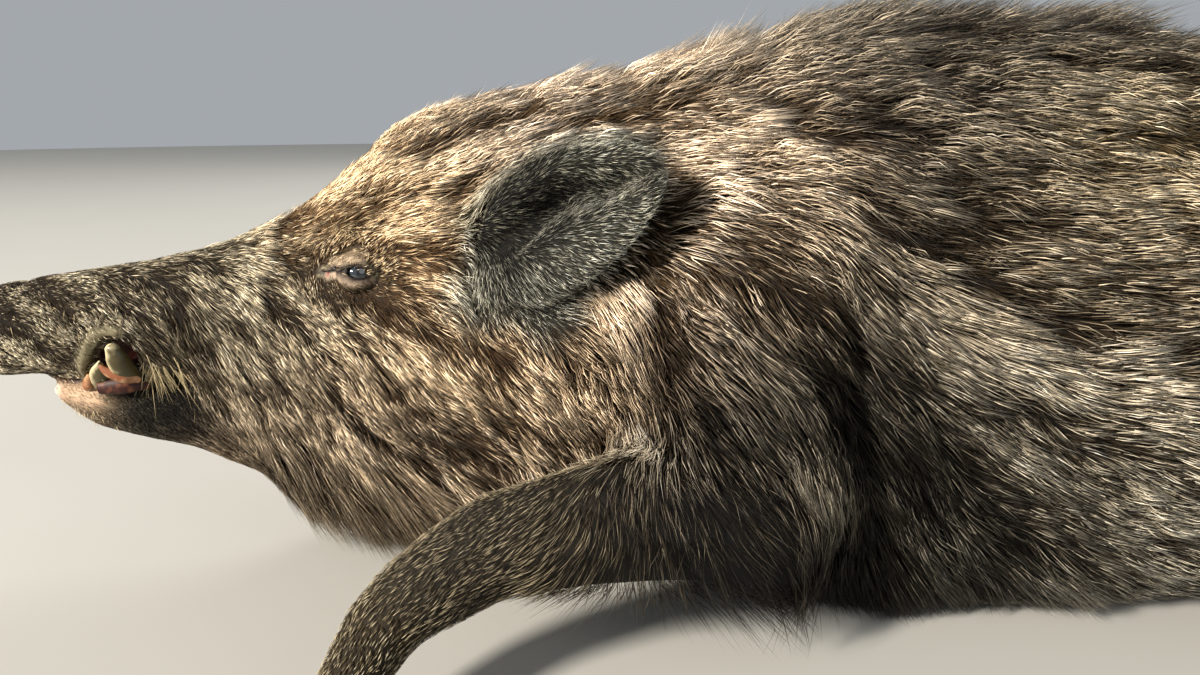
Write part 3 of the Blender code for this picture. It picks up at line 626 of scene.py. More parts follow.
def skin_material():
    """Bare hide under the coat: leathery, pored, moist at the lips and snout."""
    material, tree = new_material("boar_hide")
    place = add_node(tree, "ShaderNodeTexCoord").outputs["Object"]
    marking = add_node(tree, "ShaderNodeAttribute", {"attribute_name": "marking"}).outputs["Color"]
    wet = add_node(tree, "ShaderNodeAttribute", {"attribute_name": "wetness"}).outputs["Fac"]
    # Pores 1.6 mm apart and blotches of 7 mm.
    pores = add_node(tree, "ShaderNodeTexVoronoi", Vector=place, Scale=1 / (1.6 * MM)).outputs["Distance"]
    blotch = add_node(tree, "ShaderNodeTexNoise", Vector=place, Scale=1 / (7 * MM), Detail=5.0).outputs["Fac"]
    shade = add_node(tree, "ShaderNodeMapRange", _0=blotch, _1=0.3, _2=0.7, _3=0.7, _4=1.25).outputs["Result"]
    colour = add_node(tree, "ShaderNodeVectorMath", {"operation": "SCALE"}, _0=marking, Scale=shade).outputs[0]
    rough = add_node(tree, "ShaderNodeMapRange", _0=wet, _1=0.0, _2=1.0, _3=0.85, _4=0.22).outputs["Result"]
    height = add_node(tree, "ShaderNodeMath", {"operation": "ADD"}, _0=pores, _1=blotch).outputs[0]
    relief = add_node(tree, "ShaderNodeBump", Strength=0.55, Distance=0.6 * MM, Height=height).outputs["Normal"]
    shader = add_node(tree, "ShaderNodeBsdfPrincipled", Base_Color=colour, Roughness=rough, Normal=relief)
    shader.inputs["Specular IOR Level"].default_value = 0.20
    end_material(tree, shader)
    return material


def eye_material(name, centre, aim, colours):
    """A wet eyeball: dark iris and pupil under a clear glossy coat."""
    material, tree = new_material(name)
    place = add_node(tree, "ShaderNodeTexCoord").outputs["Object"]
    from_centre = add_node(
        tree, "ShaderNodeVectorMath", {"operation": "SUBTRACT"}, _0=place, _1=tuple(centre),
    ).outputs[0]
    outwards = add_node(tree, "ShaderNodeVectorMath", {"operation": "NORMALIZE"}, _0=from_centre).outputs[0]
    facing = add_node(
        tree, "ShaderNodeVectorMath", {"operation": "DOT_PRODUCT"}, _0=outwards, _1=tuple(aim),
    ).outputs["Value"]
    streaks = add_node(
        tree, "ShaderNodeTexNoise", Vector=outwards, Scale=38.0, Detail=3.0,
    ).outputs["Fac"]
    wobble = add_node(tree, "ShaderNodeMapRange", _0=streaks, _3=-0.012, _4=0.012).outputs["Result"]
    edge = add_node(tree, "ShaderNodeMath", {"operation": "ADD"}, _0=facing, _1=wobble).outputs[0]
    ramp = add_node(tree, "ShaderNodeValToRGB", Fac=edge)
    stops = (
        (0.58, colours.eye_white), (0.66, colours.pupil), (0.73, colours.iris), (0.92, colours.iris), (0.95, colours.pupil),
    )
    for i, (at, colour) in enumerate(stops):
        stop = ramp.color_ramp.elements[i] if i < 2 else ramp.color_ramp.elements.new(at)
        stop.position = at
        stop.color = (*colour, 1.0)
    shader = add_node(tree, "ShaderNodeBsdfPrincipled", Base_Color=ramp.outputs["Color"], Roughness=0.10)
    shader.inputs["Coat Weight"].default_value = 1.0
    shader.inputs["Coat Roughness"].default_value = 0.03
    end_material(tree, shader)
    return material


def ivory_material(colours):
    """Tusk ivory: pale where it is rubbed smooth at its front edge and tip, the front also lit as painted light;
    stained brown and olive by food, and darker on its rear side as painted shade.
    """
    material, tree = new_material("tusk_ivory")
    place = add_node(tree, "ShaderNodeTexCoord").outputs["Object"]
    # The attribute is high on the front side, as painted light, and towards the tip, where the ivory is rubbed smooth;
    # the noise adds stains from food, and the stain colour also paints the shade of the rear side.
    worn_and_lit = add_node(tree, "ShaderNodeAttribute", {"attribute_name": "wear"}).outputs["Fac"]
    stain = add_node(tree, "ShaderNodeTexNoise", Vector=place, Scale=1 / (6 * MM), Detail=6.0).outputs["Fac"]
    clean_and_lit = add_node(tree, "ShaderNodeMath", {"operation": "MULTIPLY_ADD"}, _0=stain, _1=0.9, _2=worn_and_lit).outputs[0]
    amount = add_node(tree, "ShaderNodeMapRange", _0=clean_and_lit, _1=0.45, _2=1.25).outputs["Result"]
    colour = add_node(
        tree, "ShaderNodeMix", {"data_type": "RGBA"}, _0=amount,
        _6=(*colours.ivory_stain_and_shade, 1.0), _7=(*colours.ivory, 1.0),
    ).outputs[2]
    # Fine scratches and growth lines 0.9 mm apart.
    lines = add_node(
        tree, "ShaderNodeTexWave", {"bands_direction": "Z"}, Vector=place, Scale=1 / (20 * 0.9 * MM), Distortion=3.0,
    ).outputs["Fac"]
    relief = add_node(tree, "ShaderNodeBump", Strength=0.25, Distance=0.3 * MM, Height=lines).outputs["Normal"]
    shader = add_node(tree, "ShaderNodeBsdfPrincipled", Base_Color=colour, Roughness=0.42, Normal=relief)
    shader.inputs["Subsurface Weight"].default_value = 0.12
    shader.inputs["Subsurface Radius"].default_value = (0.004, 0.003, 0.002)
    end_material(tree, shader)
    return material


def horn_material(colours):
    """Hoof horn: dark keratin with growth rings, dull and scuffed paler at the tip."""
    material, tree = new_material("hoof_horn")
    place = add_node(tree, "ShaderNodeTexCoord").outputs["Object"]
    along = add_node(tree, "ShaderNodeAttribute", {"attribute_name": "wear"}).outputs["Fac"]
    # Growth rings 2.5 mm apart across the hoof, drawn as bands along it.
    rings = add_node(
        tree, "ShaderNodeMath", {"operation": "SINE"},
        _0=add_node(tree, "ShaderNodeMath", {"operation": "MULTIPLY"}, _0=along, _1=math.tau * 14).outputs[0],
    ).outputs[0]
    scuffs = add_node(tree, "ShaderNodeTexNoise", Vector=place, Scale=1 / (5 * MM), Detail=7.0).outputs["Fac"]
    pale = add_node(tree, "ShaderNodeMath", {"operation": "MULTIPLY"}, _0=scuffs, _1=along).outputs[0]
    amount = add_node(tree, "ShaderNodeMapRange", _0=pale, _1=0.25, _2=0.75).outputs["Result"]
    colour = add_node(
        tree, "ShaderNodeMix", {"data_type": "RGBA"}, _0=amount,
        _6=(*colours.horn, 1.0), _7=(*colours.horn_pale, 1.0),
    ).outputs[2]
    height = add_node(tree, "ShaderNodeMath", {"operation": "MULTIPLY_ADD"}, _0=rings, _1=0.35, _2=scuffs).outputs[0]
    relief = add_node(tree, "ShaderNodeBump", Strength=0.6, Distance=0.7 * MM, Height=height).outputs["Normal"]
    shader = add_node(tree, "ShaderNodeBsdfPrincipled", Base_Color=colour, Roughness=0.5, Normal=relief)
    end_material(tree, shader)
    return material


def gum_material(name, dark, pale):
    """Gum or mouth lining: wet mucosa, mottled between two colours."""
    material, tree = new_material(name)
    place = add_node(tree, "ShaderNodeTexCoord").outputs["Object"]
    patches = add_node(tree, "ShaderNodeTexNoise", Vector=place, Scale=1 / (8 * MM), Detail=4.0).outputs["Fac"]
    amount = add_node(tree, "ShaderNodeMapRange", _0=patches, _1=0.45, _2=0.75).outputs["Result"]
    colour = add_node(
        tree, "ShaderNodeMix", {"data_type": "RGBA"}, _0=amount,
        _6=(*dark, 1.0), _7=(*pale, 1.0),
    ).outputs[2]
    shader = add_node(tree, "ShaderNodeBsdfPrincipled", Base_Color=colour, Roughness=0.55)
    shader.inputs["Specular IOR Level"].default_value = 0.25
    end_material(tree, shader)
    return material


def plain_bristle_material(name, colour):
    """Single stiff bristles, one colour with a little variation along them."""
    material, tree = new_material(name)
    place = add_node(tree, "ShaderNodeTexCoord").outputs["Object"]
    vary = add_node(tree, "ShaderNodeTexNoise", Vector=place, Scale=1 / (6 * MM)).outputs["Fac"]
    shade = add_node(tree, "ShaderNodeMapRange", _0=vary, _3=0.6, _4=1.4).outputs["Result"]
    tinted = add_node(tree, "ShaderNodeVectorMath", {"operation": "SCALE"}, _0=tuple(colour), Scale=shade).outputs[0]
    shader = add_node(tree, "ShaderNodeBsdfPrincipled", Base_Color=tinted, Roughness=0.42)
    end_material(tree, shader)
    return material


def floor_material(colour):
    """A matt painted studio floor."""
    material, tree = new_material("studio_floor_paint")
    place = add_node(tree, "ShaderNodeTexCoord").outputs["Object"]
    fleck = add_node(tree, "ShaderNodeTexNoise", Vector=place, Scale=3.0, Detail=4.0).outputs["Fac"]
    shade = add_node(tree, "ShaderNodeMapRange", _0=fleck, _3=0.97, _4=1.03).outputs["Result"]
    tinted = add_node(tree, "ShaderNodeVectorMath", {"operation": "SCALE"}, _0=tuple(colour), Scale=shade).outputs[0]
    shader = add_node(tree, "ShaderNodeBsdfPrincipled", Base_Color=tinted, Roughness=0.8)
    end_material(tree, shader)
    return material


# ---------------------------------------------------------------------------------------------
# The skin
# ---------------------------------------------------------------------------------------------
def ear_form(side):
    """One ear as a closed sheet: two swollen lobes with a deep valley between them."""
    rows, columns = 40, 41
    grid_u, grid_v = np.meshgrid(np.linspace(0, 1, rows), np.linspace(-1, 1, columns), indexing="ij")
    u, v = grid_u.ravel(), grid_v.ravel()
    stations = np.linspace(0, 1, len(EAR_VALLEY))
    low, valley, high = (
        np.stack([curve(np.column_stack([stations, np.array(line)[:, k]]), u) for k in range(3)], axis=1)
        for line in (EAR_LOWER_RIM, EAR_VALLEY, EAR_UPPER_RIM)
    )
    share = np.abs(v)[:, None]
    middle = valley + (np.where(v[:, None] < 0, low, high) - valley) * share
    out = np.array([-0.15, math.cos(EAR_LEAN), math.sin(EAR_LEAN)])
    swell = np.where(v < 0, curve(LOWER_LOBE, u), curve(UPPER_LOBE, u))
    sunk = curve(VALLEY_SUNK, u)
    share = np.abs(v)
    # The lower lobe stands steeply over the valley; the upper one slopes into it.
    edge = np.where(v < 0, smooth_step(share, 0.02, 0.26), smooth_step(share, 0.04, 0.50))
    over = np.sqrt(np.clip(1 - share**3.2, 0, 1))
    face = (swell * over + sunk) * edge - sunk
    face = face - 7 * smooth_step(share, 0.86, 1.0) * (1 - np.clip(u, 0, 1) * 0.4)
    face = face * MM
    hidden = np.minimum(face, (swell * over - 0.35 * sunk) * MM * 0.8) - EAR_THICKNESS * np.sqrt(1.02 - share**6)
    front = middle + out * face[:, None]
    back = middle + out * hidden[:, None]
    places = np.concatenate([front, back]) * np.array([1.0, side, 1.0]) + np.array([SNOUT_X, 0.0, 0.0])
    index = np.arange(rows * columns).reshape(rows, columns)
    quads = np.stack([index[:-1, :-1], index[1:, :-1], index[1:, 1:], index[:-1, 1:]], axis=-1).reshape(-1, 4)
    shift = rows * columns
    rim = np.concatenate([index[0, :], index[1:, -1], index[-1, -2::-1], index[-2:0:-1, 0]])
    after = np.roll(rim, -1)
    sides = np.stack([rim, after, after + shift, rim + shift], axis=1)
    faces = np.concatenate([quads, quads[:, ::-1] + shift, sides])
    mesh = bpy.data.meshes.new("ear_form")
    mesh.from_pydata(places.tolist(), [], faces.tolist())
    return mesh


def joined_flesh():
    """All the flesh as one heap of closed meshes, with fillings for the sockets, to be joined."""
    bm = bmesh.new()
    for name in FLESH:
        if name.startswith("ear_"):
            continue
        bm.from_mesh(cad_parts[name].data)
    for word, side in SIDES:
        bm.from_mesh(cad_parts[f"eye_{word}"].data)
        for tusk in ("lower_tusk", "upper_tusk"):
            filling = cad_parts[f"{tusk}_{word}"].data.copy()
            for vertex in filling.vertices:
                vertex.co.y = side * min(abs(vertex.co.y), 0.042)
            bm.from_mesh(filling)
            bpy.data.meshes.remove(filling)
        form = ear_form(side)
        bm.from_mesh(form)
        bpy.data.meshes.remove(form)
    bmesh.ops.remove_doubles(bm, verts=bm.verts, dist=1e-5)
    bmesh.ops.recalc_face_normals(bm, faces=bm.faces)
    mesh = bpy.data.meshes.new("joined_flesh")
    bm.to_mesh(mesh)
    bm.free()
    return mesh


def voxel_skin(mesh, voxel):
    """One closed surface round a heap of closed meshes."""
    obj = add_object("flesh_heap", mesh)
    remesh = obj.modifiers.new("one_surface", "REMESH")
    remesh.mode = "VOXEL"
    remesh.voxel_size = voxel
    return mesh_arrays(final_mesh(obj, "one_surface"))


def largest_island(points, triangles):
    """Only the largest of the mesh's separate parts."""
    parent = list(range(len(points)))

    def root(i):
        while parent[i] != i:
            parent[i] = parent[parent[i]]
            i = parent[i]
        return i

    for a, b in edge_pairs(triangles).tolist():
        a, b = root(a), root(b)
        if a != b:
            parent[a] = b
    label = np.array([root(i) for i in range(len(points))])
    kept = label == np.bincount(label).argmax()
    number = np.cumsum(kept) - 1
    return points[kept], number[triangles[kept[triangles[:, 0]]]]


def thinned(points, triangles, target, keep):
    """Fewer triangles, with the points that have a high value of keep spared."""
    obj = add_object("thinned_skin", mesh_from_arrays("thinned_skin", points, triangles))
    group = obj.vertex_groups.new(name="spare")
    for level in np.unique(keep):
        group.add(np.flatnonzero(keep == level).tolist(), float(level), "REPLACE")
    thin = obj.modifiers.new("thin", "DECIMATE")
    thin.ratio = min(1.0, target / len(triangles))
    thin.vertex_group = "spare"
    thin.invert_vertex_group = True
    thin.vertex_group_factor = 1.0
    return mesh_arrays(final_mesh(obj, "thinned_skin"))


def refined(points, triangles, zones):
    """The mesh with its triangles split in four wherever a zone says so."""
    for zone in zones:
        mesh = mesh_from_arrays("refined", points, triangles)
        bm = bmesh.new()
        bm.from_mesh(mesh)
        bpy.data.meshes.remove(mesh)
        chosen = zone(points)
        bm.verts.ensure_lookup_table()
        picked = [e for e in bm.edges if chosen[e.verts[0].index] and chosen[e.verts[1].index]]
        bmesh.ops.subdivide_edges(bm, edges=picked, cuts=1, use_grid_fill=True)
        bmesh.ops.triangulate(bm, faces=bm.faces)
        mesh = bpy.data.meshes.new("refined")
        bm.to_mesh(mesh)
        bm.free()
        points, triangles = mesh_arrays(mesh)
        bpy.data.meshes.remove(mesh)
    return points, triangles


def flesh_finder():
    """A search tree of the solids' faces, and the node that each face belongs to."""
    points, faces, owners = [], [], []
    for number, name in enumerate(FLESH):
        if name.startswith("ear_"):
            form = ear_form(dict(SIDES)[name[4:]])
            node_points, node_faces = mesh_arrays(form)
            bpy.data.meshes.remove(form)
        else:
            node_points, node_faces = mesh_arrays(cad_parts[name].data)
        faces.extend((node_faces + len(points)).tolist())
        points.extend(node_points.tolist())
        owners.extend([number] * len(node_faces))
    return BVHTree.FromPolygons(points, faces), np.array(owners)


def inside_outline(places, outline):
    """Whether each flat place lies inside a closed outline."""
    line = np.array(outline)
    ahead = np.roll(line, -1, axis=0)
    inside = np.zeros(len(places), dtype=bool)
    for (x0, y0), (x1, y1) in zip(line, ahead):
        spans = (y0 > places[:, 1]) != (y1 > places[:, 1])
        inside ^= spans & (places[:, 0] < (x1 - x0) * (places[:, 1] - y0) / ((y1 - y0) or 1e-9) + x0)
    return inside


def owners_of(points, finder):
    """The number of the flesh node nearest to each point."""
    tree, owners = finder
    owner = owners[[tree.find_nearest(p)[2] for p in points.tolist()]]
    # What lies inside an ear's outline is the ear's, down to the bottom of its valley.
    rims = [(row[0], row[2]) for row in EAR_LOWER_RIM + EAR_UPPER_RIM[::-1]]
    in_outline = inside_outline(side_view(points), rims) & nodes_with(owner, "head", "neck")
    for word, side in SIDES:
        owner[in_outline & (points[:, 1] * side > 0.086)] = FLESH.index(f"ear_{word}")
    return owner


def node_values(owner, column):
    """A column of the coat's table for each point's node."""
    values = np.zeros(len(FLESH))
    for number, name in enumerate(FLESH):
        word = next(w for w in NODE_COAT if w in name)
        values[number] = NODE_COAT[word][column]
    return values[owner]


def nodes_with(owner, *words):
    """Whether each point's node has one of the words in its name."""
    wanted = np.array([any(w in name for w in words) for name in FLESH])
    return wanted[owner]


def mane_share(points, normals):
    """How much of the mane grows at each point, 0 to 1."""
    behind = points[:, 0] - SNOUT_X
    return curve(MANE_RUN, behind) * bump(points[:, 1], MANE_SPREAD) * smooth_step(normals[:, 2], 0.2, 0.7)


def coat_depth(points, normals, owner):
    """The coat's depth over the skin at each point."""
    behind = points[:, 0] - SNOUT_X
    depth = node_values(owner, 0)
    on_head = nodes_with(owner, "head")
    depth = np.where(on_head, curve(HEAD_DEPTH, behind), depth)
    depth = np.where(nodes_with(owner, "lower_jaw"), curve(((0.05, 1.2), (0.14, 2.2), (0.29, 8.0)), behind), depth)
    depth = np.where(nodes_with(owner, "snout_disc"), 0.5, depth)
    depth = depth + 5 * nodes_with(owner, "forearm") * smooth_step(behind, 0.49, 0.56)
    underneath = smooth_step(-normals[:, 2], 0.3, 0.9)
    depth = depth * (1 - 0.75 * underneath)
    return (depth + MANE_DEPTH * mane_share(points, normals)) * MM


def face_side(points, normals, owner):
    """How far each point belongs to the side of the face, 0 to 1."""
    behind = points[:, 0] - SNOUT_X
    return np.where(
        nodes_with(owner, "head", "lower_jaw"),
        smooth_step(np.abs(normals[:, 1]), 0.15, 0.5) * smooth_step(-behind, -0.45, -0.40), 0.0,
    )


def sculpted_face(points, normals, owner, sizes):
    """The lips, creases and folds of the face, pushed out of or into the skin."""
    seen = side_view(points)
    side = face_side(points, normals, owner)
    push = np.zeros(len(points))

    def along(path):
        return path_distance(seen, path)[0]

    push += 0.0045 * bump(along(BROW), 0.010)
    push += 0.0022 * bump(np.hypot(seen[:, 0] - 0.318, (seen[:, 1] - 0.2300) * 1.2), 0.010)
    push -= 0.0024 * bump(along(LID_FOLD), 0.0022)
    push += 0.0012 * bump(along(LID_FOLD) - 0.0045, 0.0025)
    push -= 0.0020 * bump(along(UNDER_FOLD), 0.0024)
    push -= 0.0022 * bump(along(FRONT_FOLD), 0.0034)
    push -= 0.0020 * bump(along(REAR_FOLD), 0.0030)
    push -= 0.0018 * bump(along(BROW_FOLD), 0.0036)
    push -= 0.0024 * bump(along(MUZZLE_CREASE), 0.0040)
    push -= 0.0035 * bump(along(MOUTH_LINE), 0.0026)
    push += 0.0016 * bump(along(MOUTH_LINE) - 0.0060, 0.0035)
    notch = smooth_step(-along(TUSK_NOTCH), -0.0125, -0.0080)
    push -= sizes.notch_depth * notch
    push += sizes.lip_rise * bump(along(LIP_RIDGE), 0.0052) * (1 - notch)
    moved = points + normals * (push * side)[:, None]
    # The snout: a flat disc with a raised rim, two open nostrils and a crease behind it.
    behind = points[:, 0] - SNOUT_X
    crease = bump(path_distance(seen, DISC_CREASE)[0], 0.0045) * smooth_step(-normals[:, 0], -0.9, -0.2)
    moved -= normals * (0.0030 * crease * smooth_step(-behind, -0.05, -0.035))[:, None]
    return moved


def lids_over_eye(points, normals):
    """The skin round each eye lifted clear of the eyeball, as its lids lie on it."""
    moved = points.copy()
    for _, side in SIDES:
        centre = np.array([EYE_CENTRE.x, side * abs(EYE_CENTRE.y), EYE_CENTRE.z])
        away = moved - centre
        distance = np.linalg.norm(away, axis=1)
        near = (distance < EYE_RADIUS + 0.016) & (moved[:, 1] * side > 0)
        lid = EYE_RADIUS + 0.0024
        scale = np.where(near & (distance < lid), lid / np.maximum(distance, 1e-6), 1.0)
        moved = centre + away * scale[:, None]
    return moved


def shoulder_fold(points, normals, owner, depth):
    """The fold of hide behind the shoulder, pressed into the trunk's sides."""
    seen = side_view(points)
    distance, along = path_distance(seen, SHOULDER_FOLD)
    share = bump(distance, 0.016) * smooth_step(along, 0.0, 0.25)
    on_trunk = nodes_with(owner, "chest", "shoulder", "neck") & (np.abs(normals[:, 1]) > 0.2)
    lifted = 0.5 * bump(distance - 0.03, 0.02) * (seen[:, 0] < np.interp(seen[:, 1], [0.07, 0.29], [0.76, 0.665]))
    return points - normals * (np.where(on_trunk, share - lifted * smooth_step(along, 0.0, 0.25), 0) * depth)[:, None]


def open_eyes(points, triangles):
    """Cut the openings between the lids and turn their rims inwards, so the skin stays closed."""
    mesh = mesh_from_arrays("eye_cut", points, triangles)
    bm = bmesh.new()
    bm.from_mesh(mesh)
    bpy.data.meshes.remove(mesh)
    upper, lower = np.array(UPPER_LID), np.array(LOWER_LID)
    front, back = upper[0, 0], upper[-1, 0]
    for _, side in SIDES:
        centre = Vector((EYE_CENTRE.x, side * abs(EYE_CENTRE.y), EYE_CENTRE.z))

        def inside(place):
            behind = place.x - SNOUT_X
            if not front < behind < back or place.y * side < 0 or (place - centre).length > EYE_RADIUS + 0.02:
                return False
            return curve(LOWER_LID, behind) < place.z < curve(UPPER_LID, behind)

        gone = [f for f in bm.faces if inside(f.calc_center_median())]
        bmesh.ops.delete(bm, geom=gone, context="FACES")
        rim = [e for e in bm.edges if e.is_boundary and (e.verts[0].co - centre).length < 0.05]
        for vertex in {v for e in rim for v in e.verts}:
            behind = min(max(vertex.co.x - SNOUT_X, front), back)
            low, high = float(curve(LOWER_LID, behind)), float(curve(UPPER_LID, behind))
            vertex.co.z = high if vertex.co.z > (low + high) / 2 else low
            vertex.co.x = SNOUT_X + behind
        for depth in (0.0016, 0.0050):
            made = bmesh.ops.extrude_edge_only(bm, edges=rim)
            for vertex in [v for v in made["geom"] if isinstance(v, bmesh.types.BMVert)]:
                vertex.co += (centre - vertex.co).normalized() * depth
            rim = [e for e in made["geom"] if isinstance(e, bmesh.types.BMEdge) and e.is_boundary]
        bmesh.ops.holes_fill(bm, edges=rim, sides=0)
    loose = [v for v in bm.verts if not v.link_faces]
    bmesh.ops.delete(bm, geom=loose, context="VERTS")
    bmesh.ops.triangulate(bm, faces=bm.faces)
    bmesh.ops.recalc_face_normals(bm, faces=bm.faces)
    mesh = bpy.data.meshes.new("eye_cut")
    bm.to_mesh(mesh)
    bm.free()
    points, triangles = mesh_arrays(mesh)
    bpy.data.meshes.remove(mesh)
    return points, triangles


def zone_round(path, reach):
    """A test for points near a path on either side of the face."""
    def test(points):
        return (path_distance(side_view(points), path)[0] < reach) & (np.abs(points[:, 1]) > 0.012)
    return test


def eye_zone(reach):
    """A test for points near either eye."""
    def test(points):
        mirrored = points * np.array([1.0, -1.0, 1.0])
        centre = np.array(EYE_CENTRE)
        return np.minimum(
            np.linalg.norm(points - centre, axis=1), np.linalg.norm(mirrored - centre, axis=1),
        ) < reach
    return test


def snout_zone(points):
    """A test for points on the snout's disc."""
    return points[:, 0] - SNOUT_X < 0.026


def nostril_hollows(points, normals):
    """Two open nostrils in the disc and the rim round it."""
    moved = points.copy()
    behind = points[:, 0] - SNOUT_X
    front = smooth_step(-normals[:, 0], 0.3, 0.8) * (behind < 0.02)
    for _, side in SIDES:
        place = np.stack([points[:, 1] - side * 0.0150, (points[:, 2] - 0.1870) * 0.8], axis=1)
        distance = np.linalg.norm(place, axis=1)
        moved[:, 0] += 0.0110 * smooth_step(-distance, -0.0085, -0.0050) * front
        moved[:, 0] -= 0.0014 * bump(distance - 0.0100, 0.0022) * front
    middle = np.hypot(points[:, 1] / 0.036, (points[:, 2] - 0.184) / 0.033)
    moved[:, 0] -= 0.0020 * bump(middle - 0.92, 0.12) * front
    moved[:, 0] += 0.0012 * bump(middle - 0.35, 0.3) * front
    return moved


def lie_of_coat(points, normals, owner):
    """The direction in which the coat lies at each point."""
    seen = side_view(points)

    def blended(guides, reach):
        total = np.zeros((len(points), 2))
        for behind, height, droop in guides:
            gap = np.hypot(seen[:, 0] - behind, seen[:, 1] - height)
            weight = np.exp(-0.5 * (gap / reach) ** 2) + 1e-7 / (gap + 0.01) ** 2
            angle = math.radians(droop)
            total += weight[:, None] * np.array([math.cos(angle), -math.sin(angle)])
        return unit(total)

    flat = blended(LIE, LIE_REACH)
    ear = nodes_with(owner, "ear_")
    flat[ear] = blended(EAR_LIE, EAR_LIE_REACH)[ear]
    side = np.sign(points[:, 1])
    spread = 0.12 * side * smooth_step(normals[:, 2], 0.3, 0.9)
    lie = np.stack([flat[:, 0], spread, flat[:, 1]], axis=1)
    # Round the eye the hair radiates from it.
    gap, _ = path_distance(seen, SLIT)
    nearest = np.interp(seen[:, 0], *np.array(SLIT).T)
    off = np.clip(seen[:, 0], SLIT[0][0], SLIT[-1][0])
    away = np.stack([seen[:, 0] - off, np.zeros(len(points)), seen[:, 1] - nearest], axis=1)
    on_face = nodes_with(owner, "head") * smooth_step(np.abs(normals[:, 1]), 0.3, 0.6)
    lie += unit(away) * (1.8 * bump(gap, 0.017) * on_face)[:, None]
    # On the legs and the tail it lies along the bone, towards the foot.
    chains = [("shoulder", "forearm", "forefoot"), ("thigh", "shank", "hindfoot")]
    middles = {name: np.array(sum(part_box(name), Vector())) / 2 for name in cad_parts}
    for number, name in enumerate(FLESH):
        mine = owner == number
        if name == "tail":
            path = np.array([[0.73, 0.0, 0.22], [0.782, 0.004, 0.13], [0.80, 0.02, 0.04], [0.83, 0.046, 0.014]])
            ahead = path[np.clip(np.searchsorted(-path[:, 2], -points[mine][:, 2]), 1, 3)]
            lie[mine] = unit(ahead - points[mine] + np.array([0.005, 0, -0.02]))
            continue
        for chain in chains:
            for k, word in enumerate(chain):
                if word not in name or word in ("shoulder", "thigh"):
                    continue
                leg = name.rsplit("_", 1)[0]
                end = middles[f"{leg}_hoof_a"] if k == 2 else middles[f"{leg}_{chain[k + 1]}"]
                start = middles[name]
                lie[mine] = unit(end - start) + np.array([0.0, 0.0, -0.12])
                if word == "forearm":
                    # Above the elbow it turns from forwards through down to backwards.
                    turn = np.radians(curve(((0.40, 160), (0.47, 140), (0.52, 90), (0.57, 60)), seen[mine, 0]))
                    rolled = np.stack([np.cos(turn), 0.45 * side[mine], -np.sin(turn)], axis=1)
                    lie[mine] += (rolled - lie[mine]) * smooth_step(seen[mine, 0], 0.43, 0.49)[:, None]
    return flattened(lie, normals)


def shades_at(points, owner):
    """The coat's three shades at each point, as an array of points by shades by colours."""
    seen = side_view(points)

    def blended(marks, floor):
        total = np.zeros((len(points), 3, 3))
        weights = np.zeros(len(points))
        for shades, behind, height, reach in marks:
            gap = np.hypot(seen[:, 0] - behind, seen[:, 1] - height)
            weight = np.exp(-0.5 * (gap / reach) ** 2) + floor / (gap + 0.02) ** 2
            colours = np.array([linear(code) for code in shades])
            total += weight[:, None, None] * colours
            weights += weight
        return total / weights[:, None, None]

    out = blended(MARKS, 1e-7)
    jaw = nodes_with(owner, "lower_jaw")
    out[jaw] = blended(JAW_MARKS, 1e-6)[jaw]
    ear = nodes_with(owner, "ear_")
    out[ear] = blended(EAR_MARKS, 1e-8)[ear]
    arm = nodes_with(owner, "forearm")
    out[arm] = blended(ARM_MARKS, 1e-8)[arm]
    for word, shades in NODE_SHADES.items():
        out[nodes_with(owner, word)] = np.array([linear(code) for code in shades])
    return out


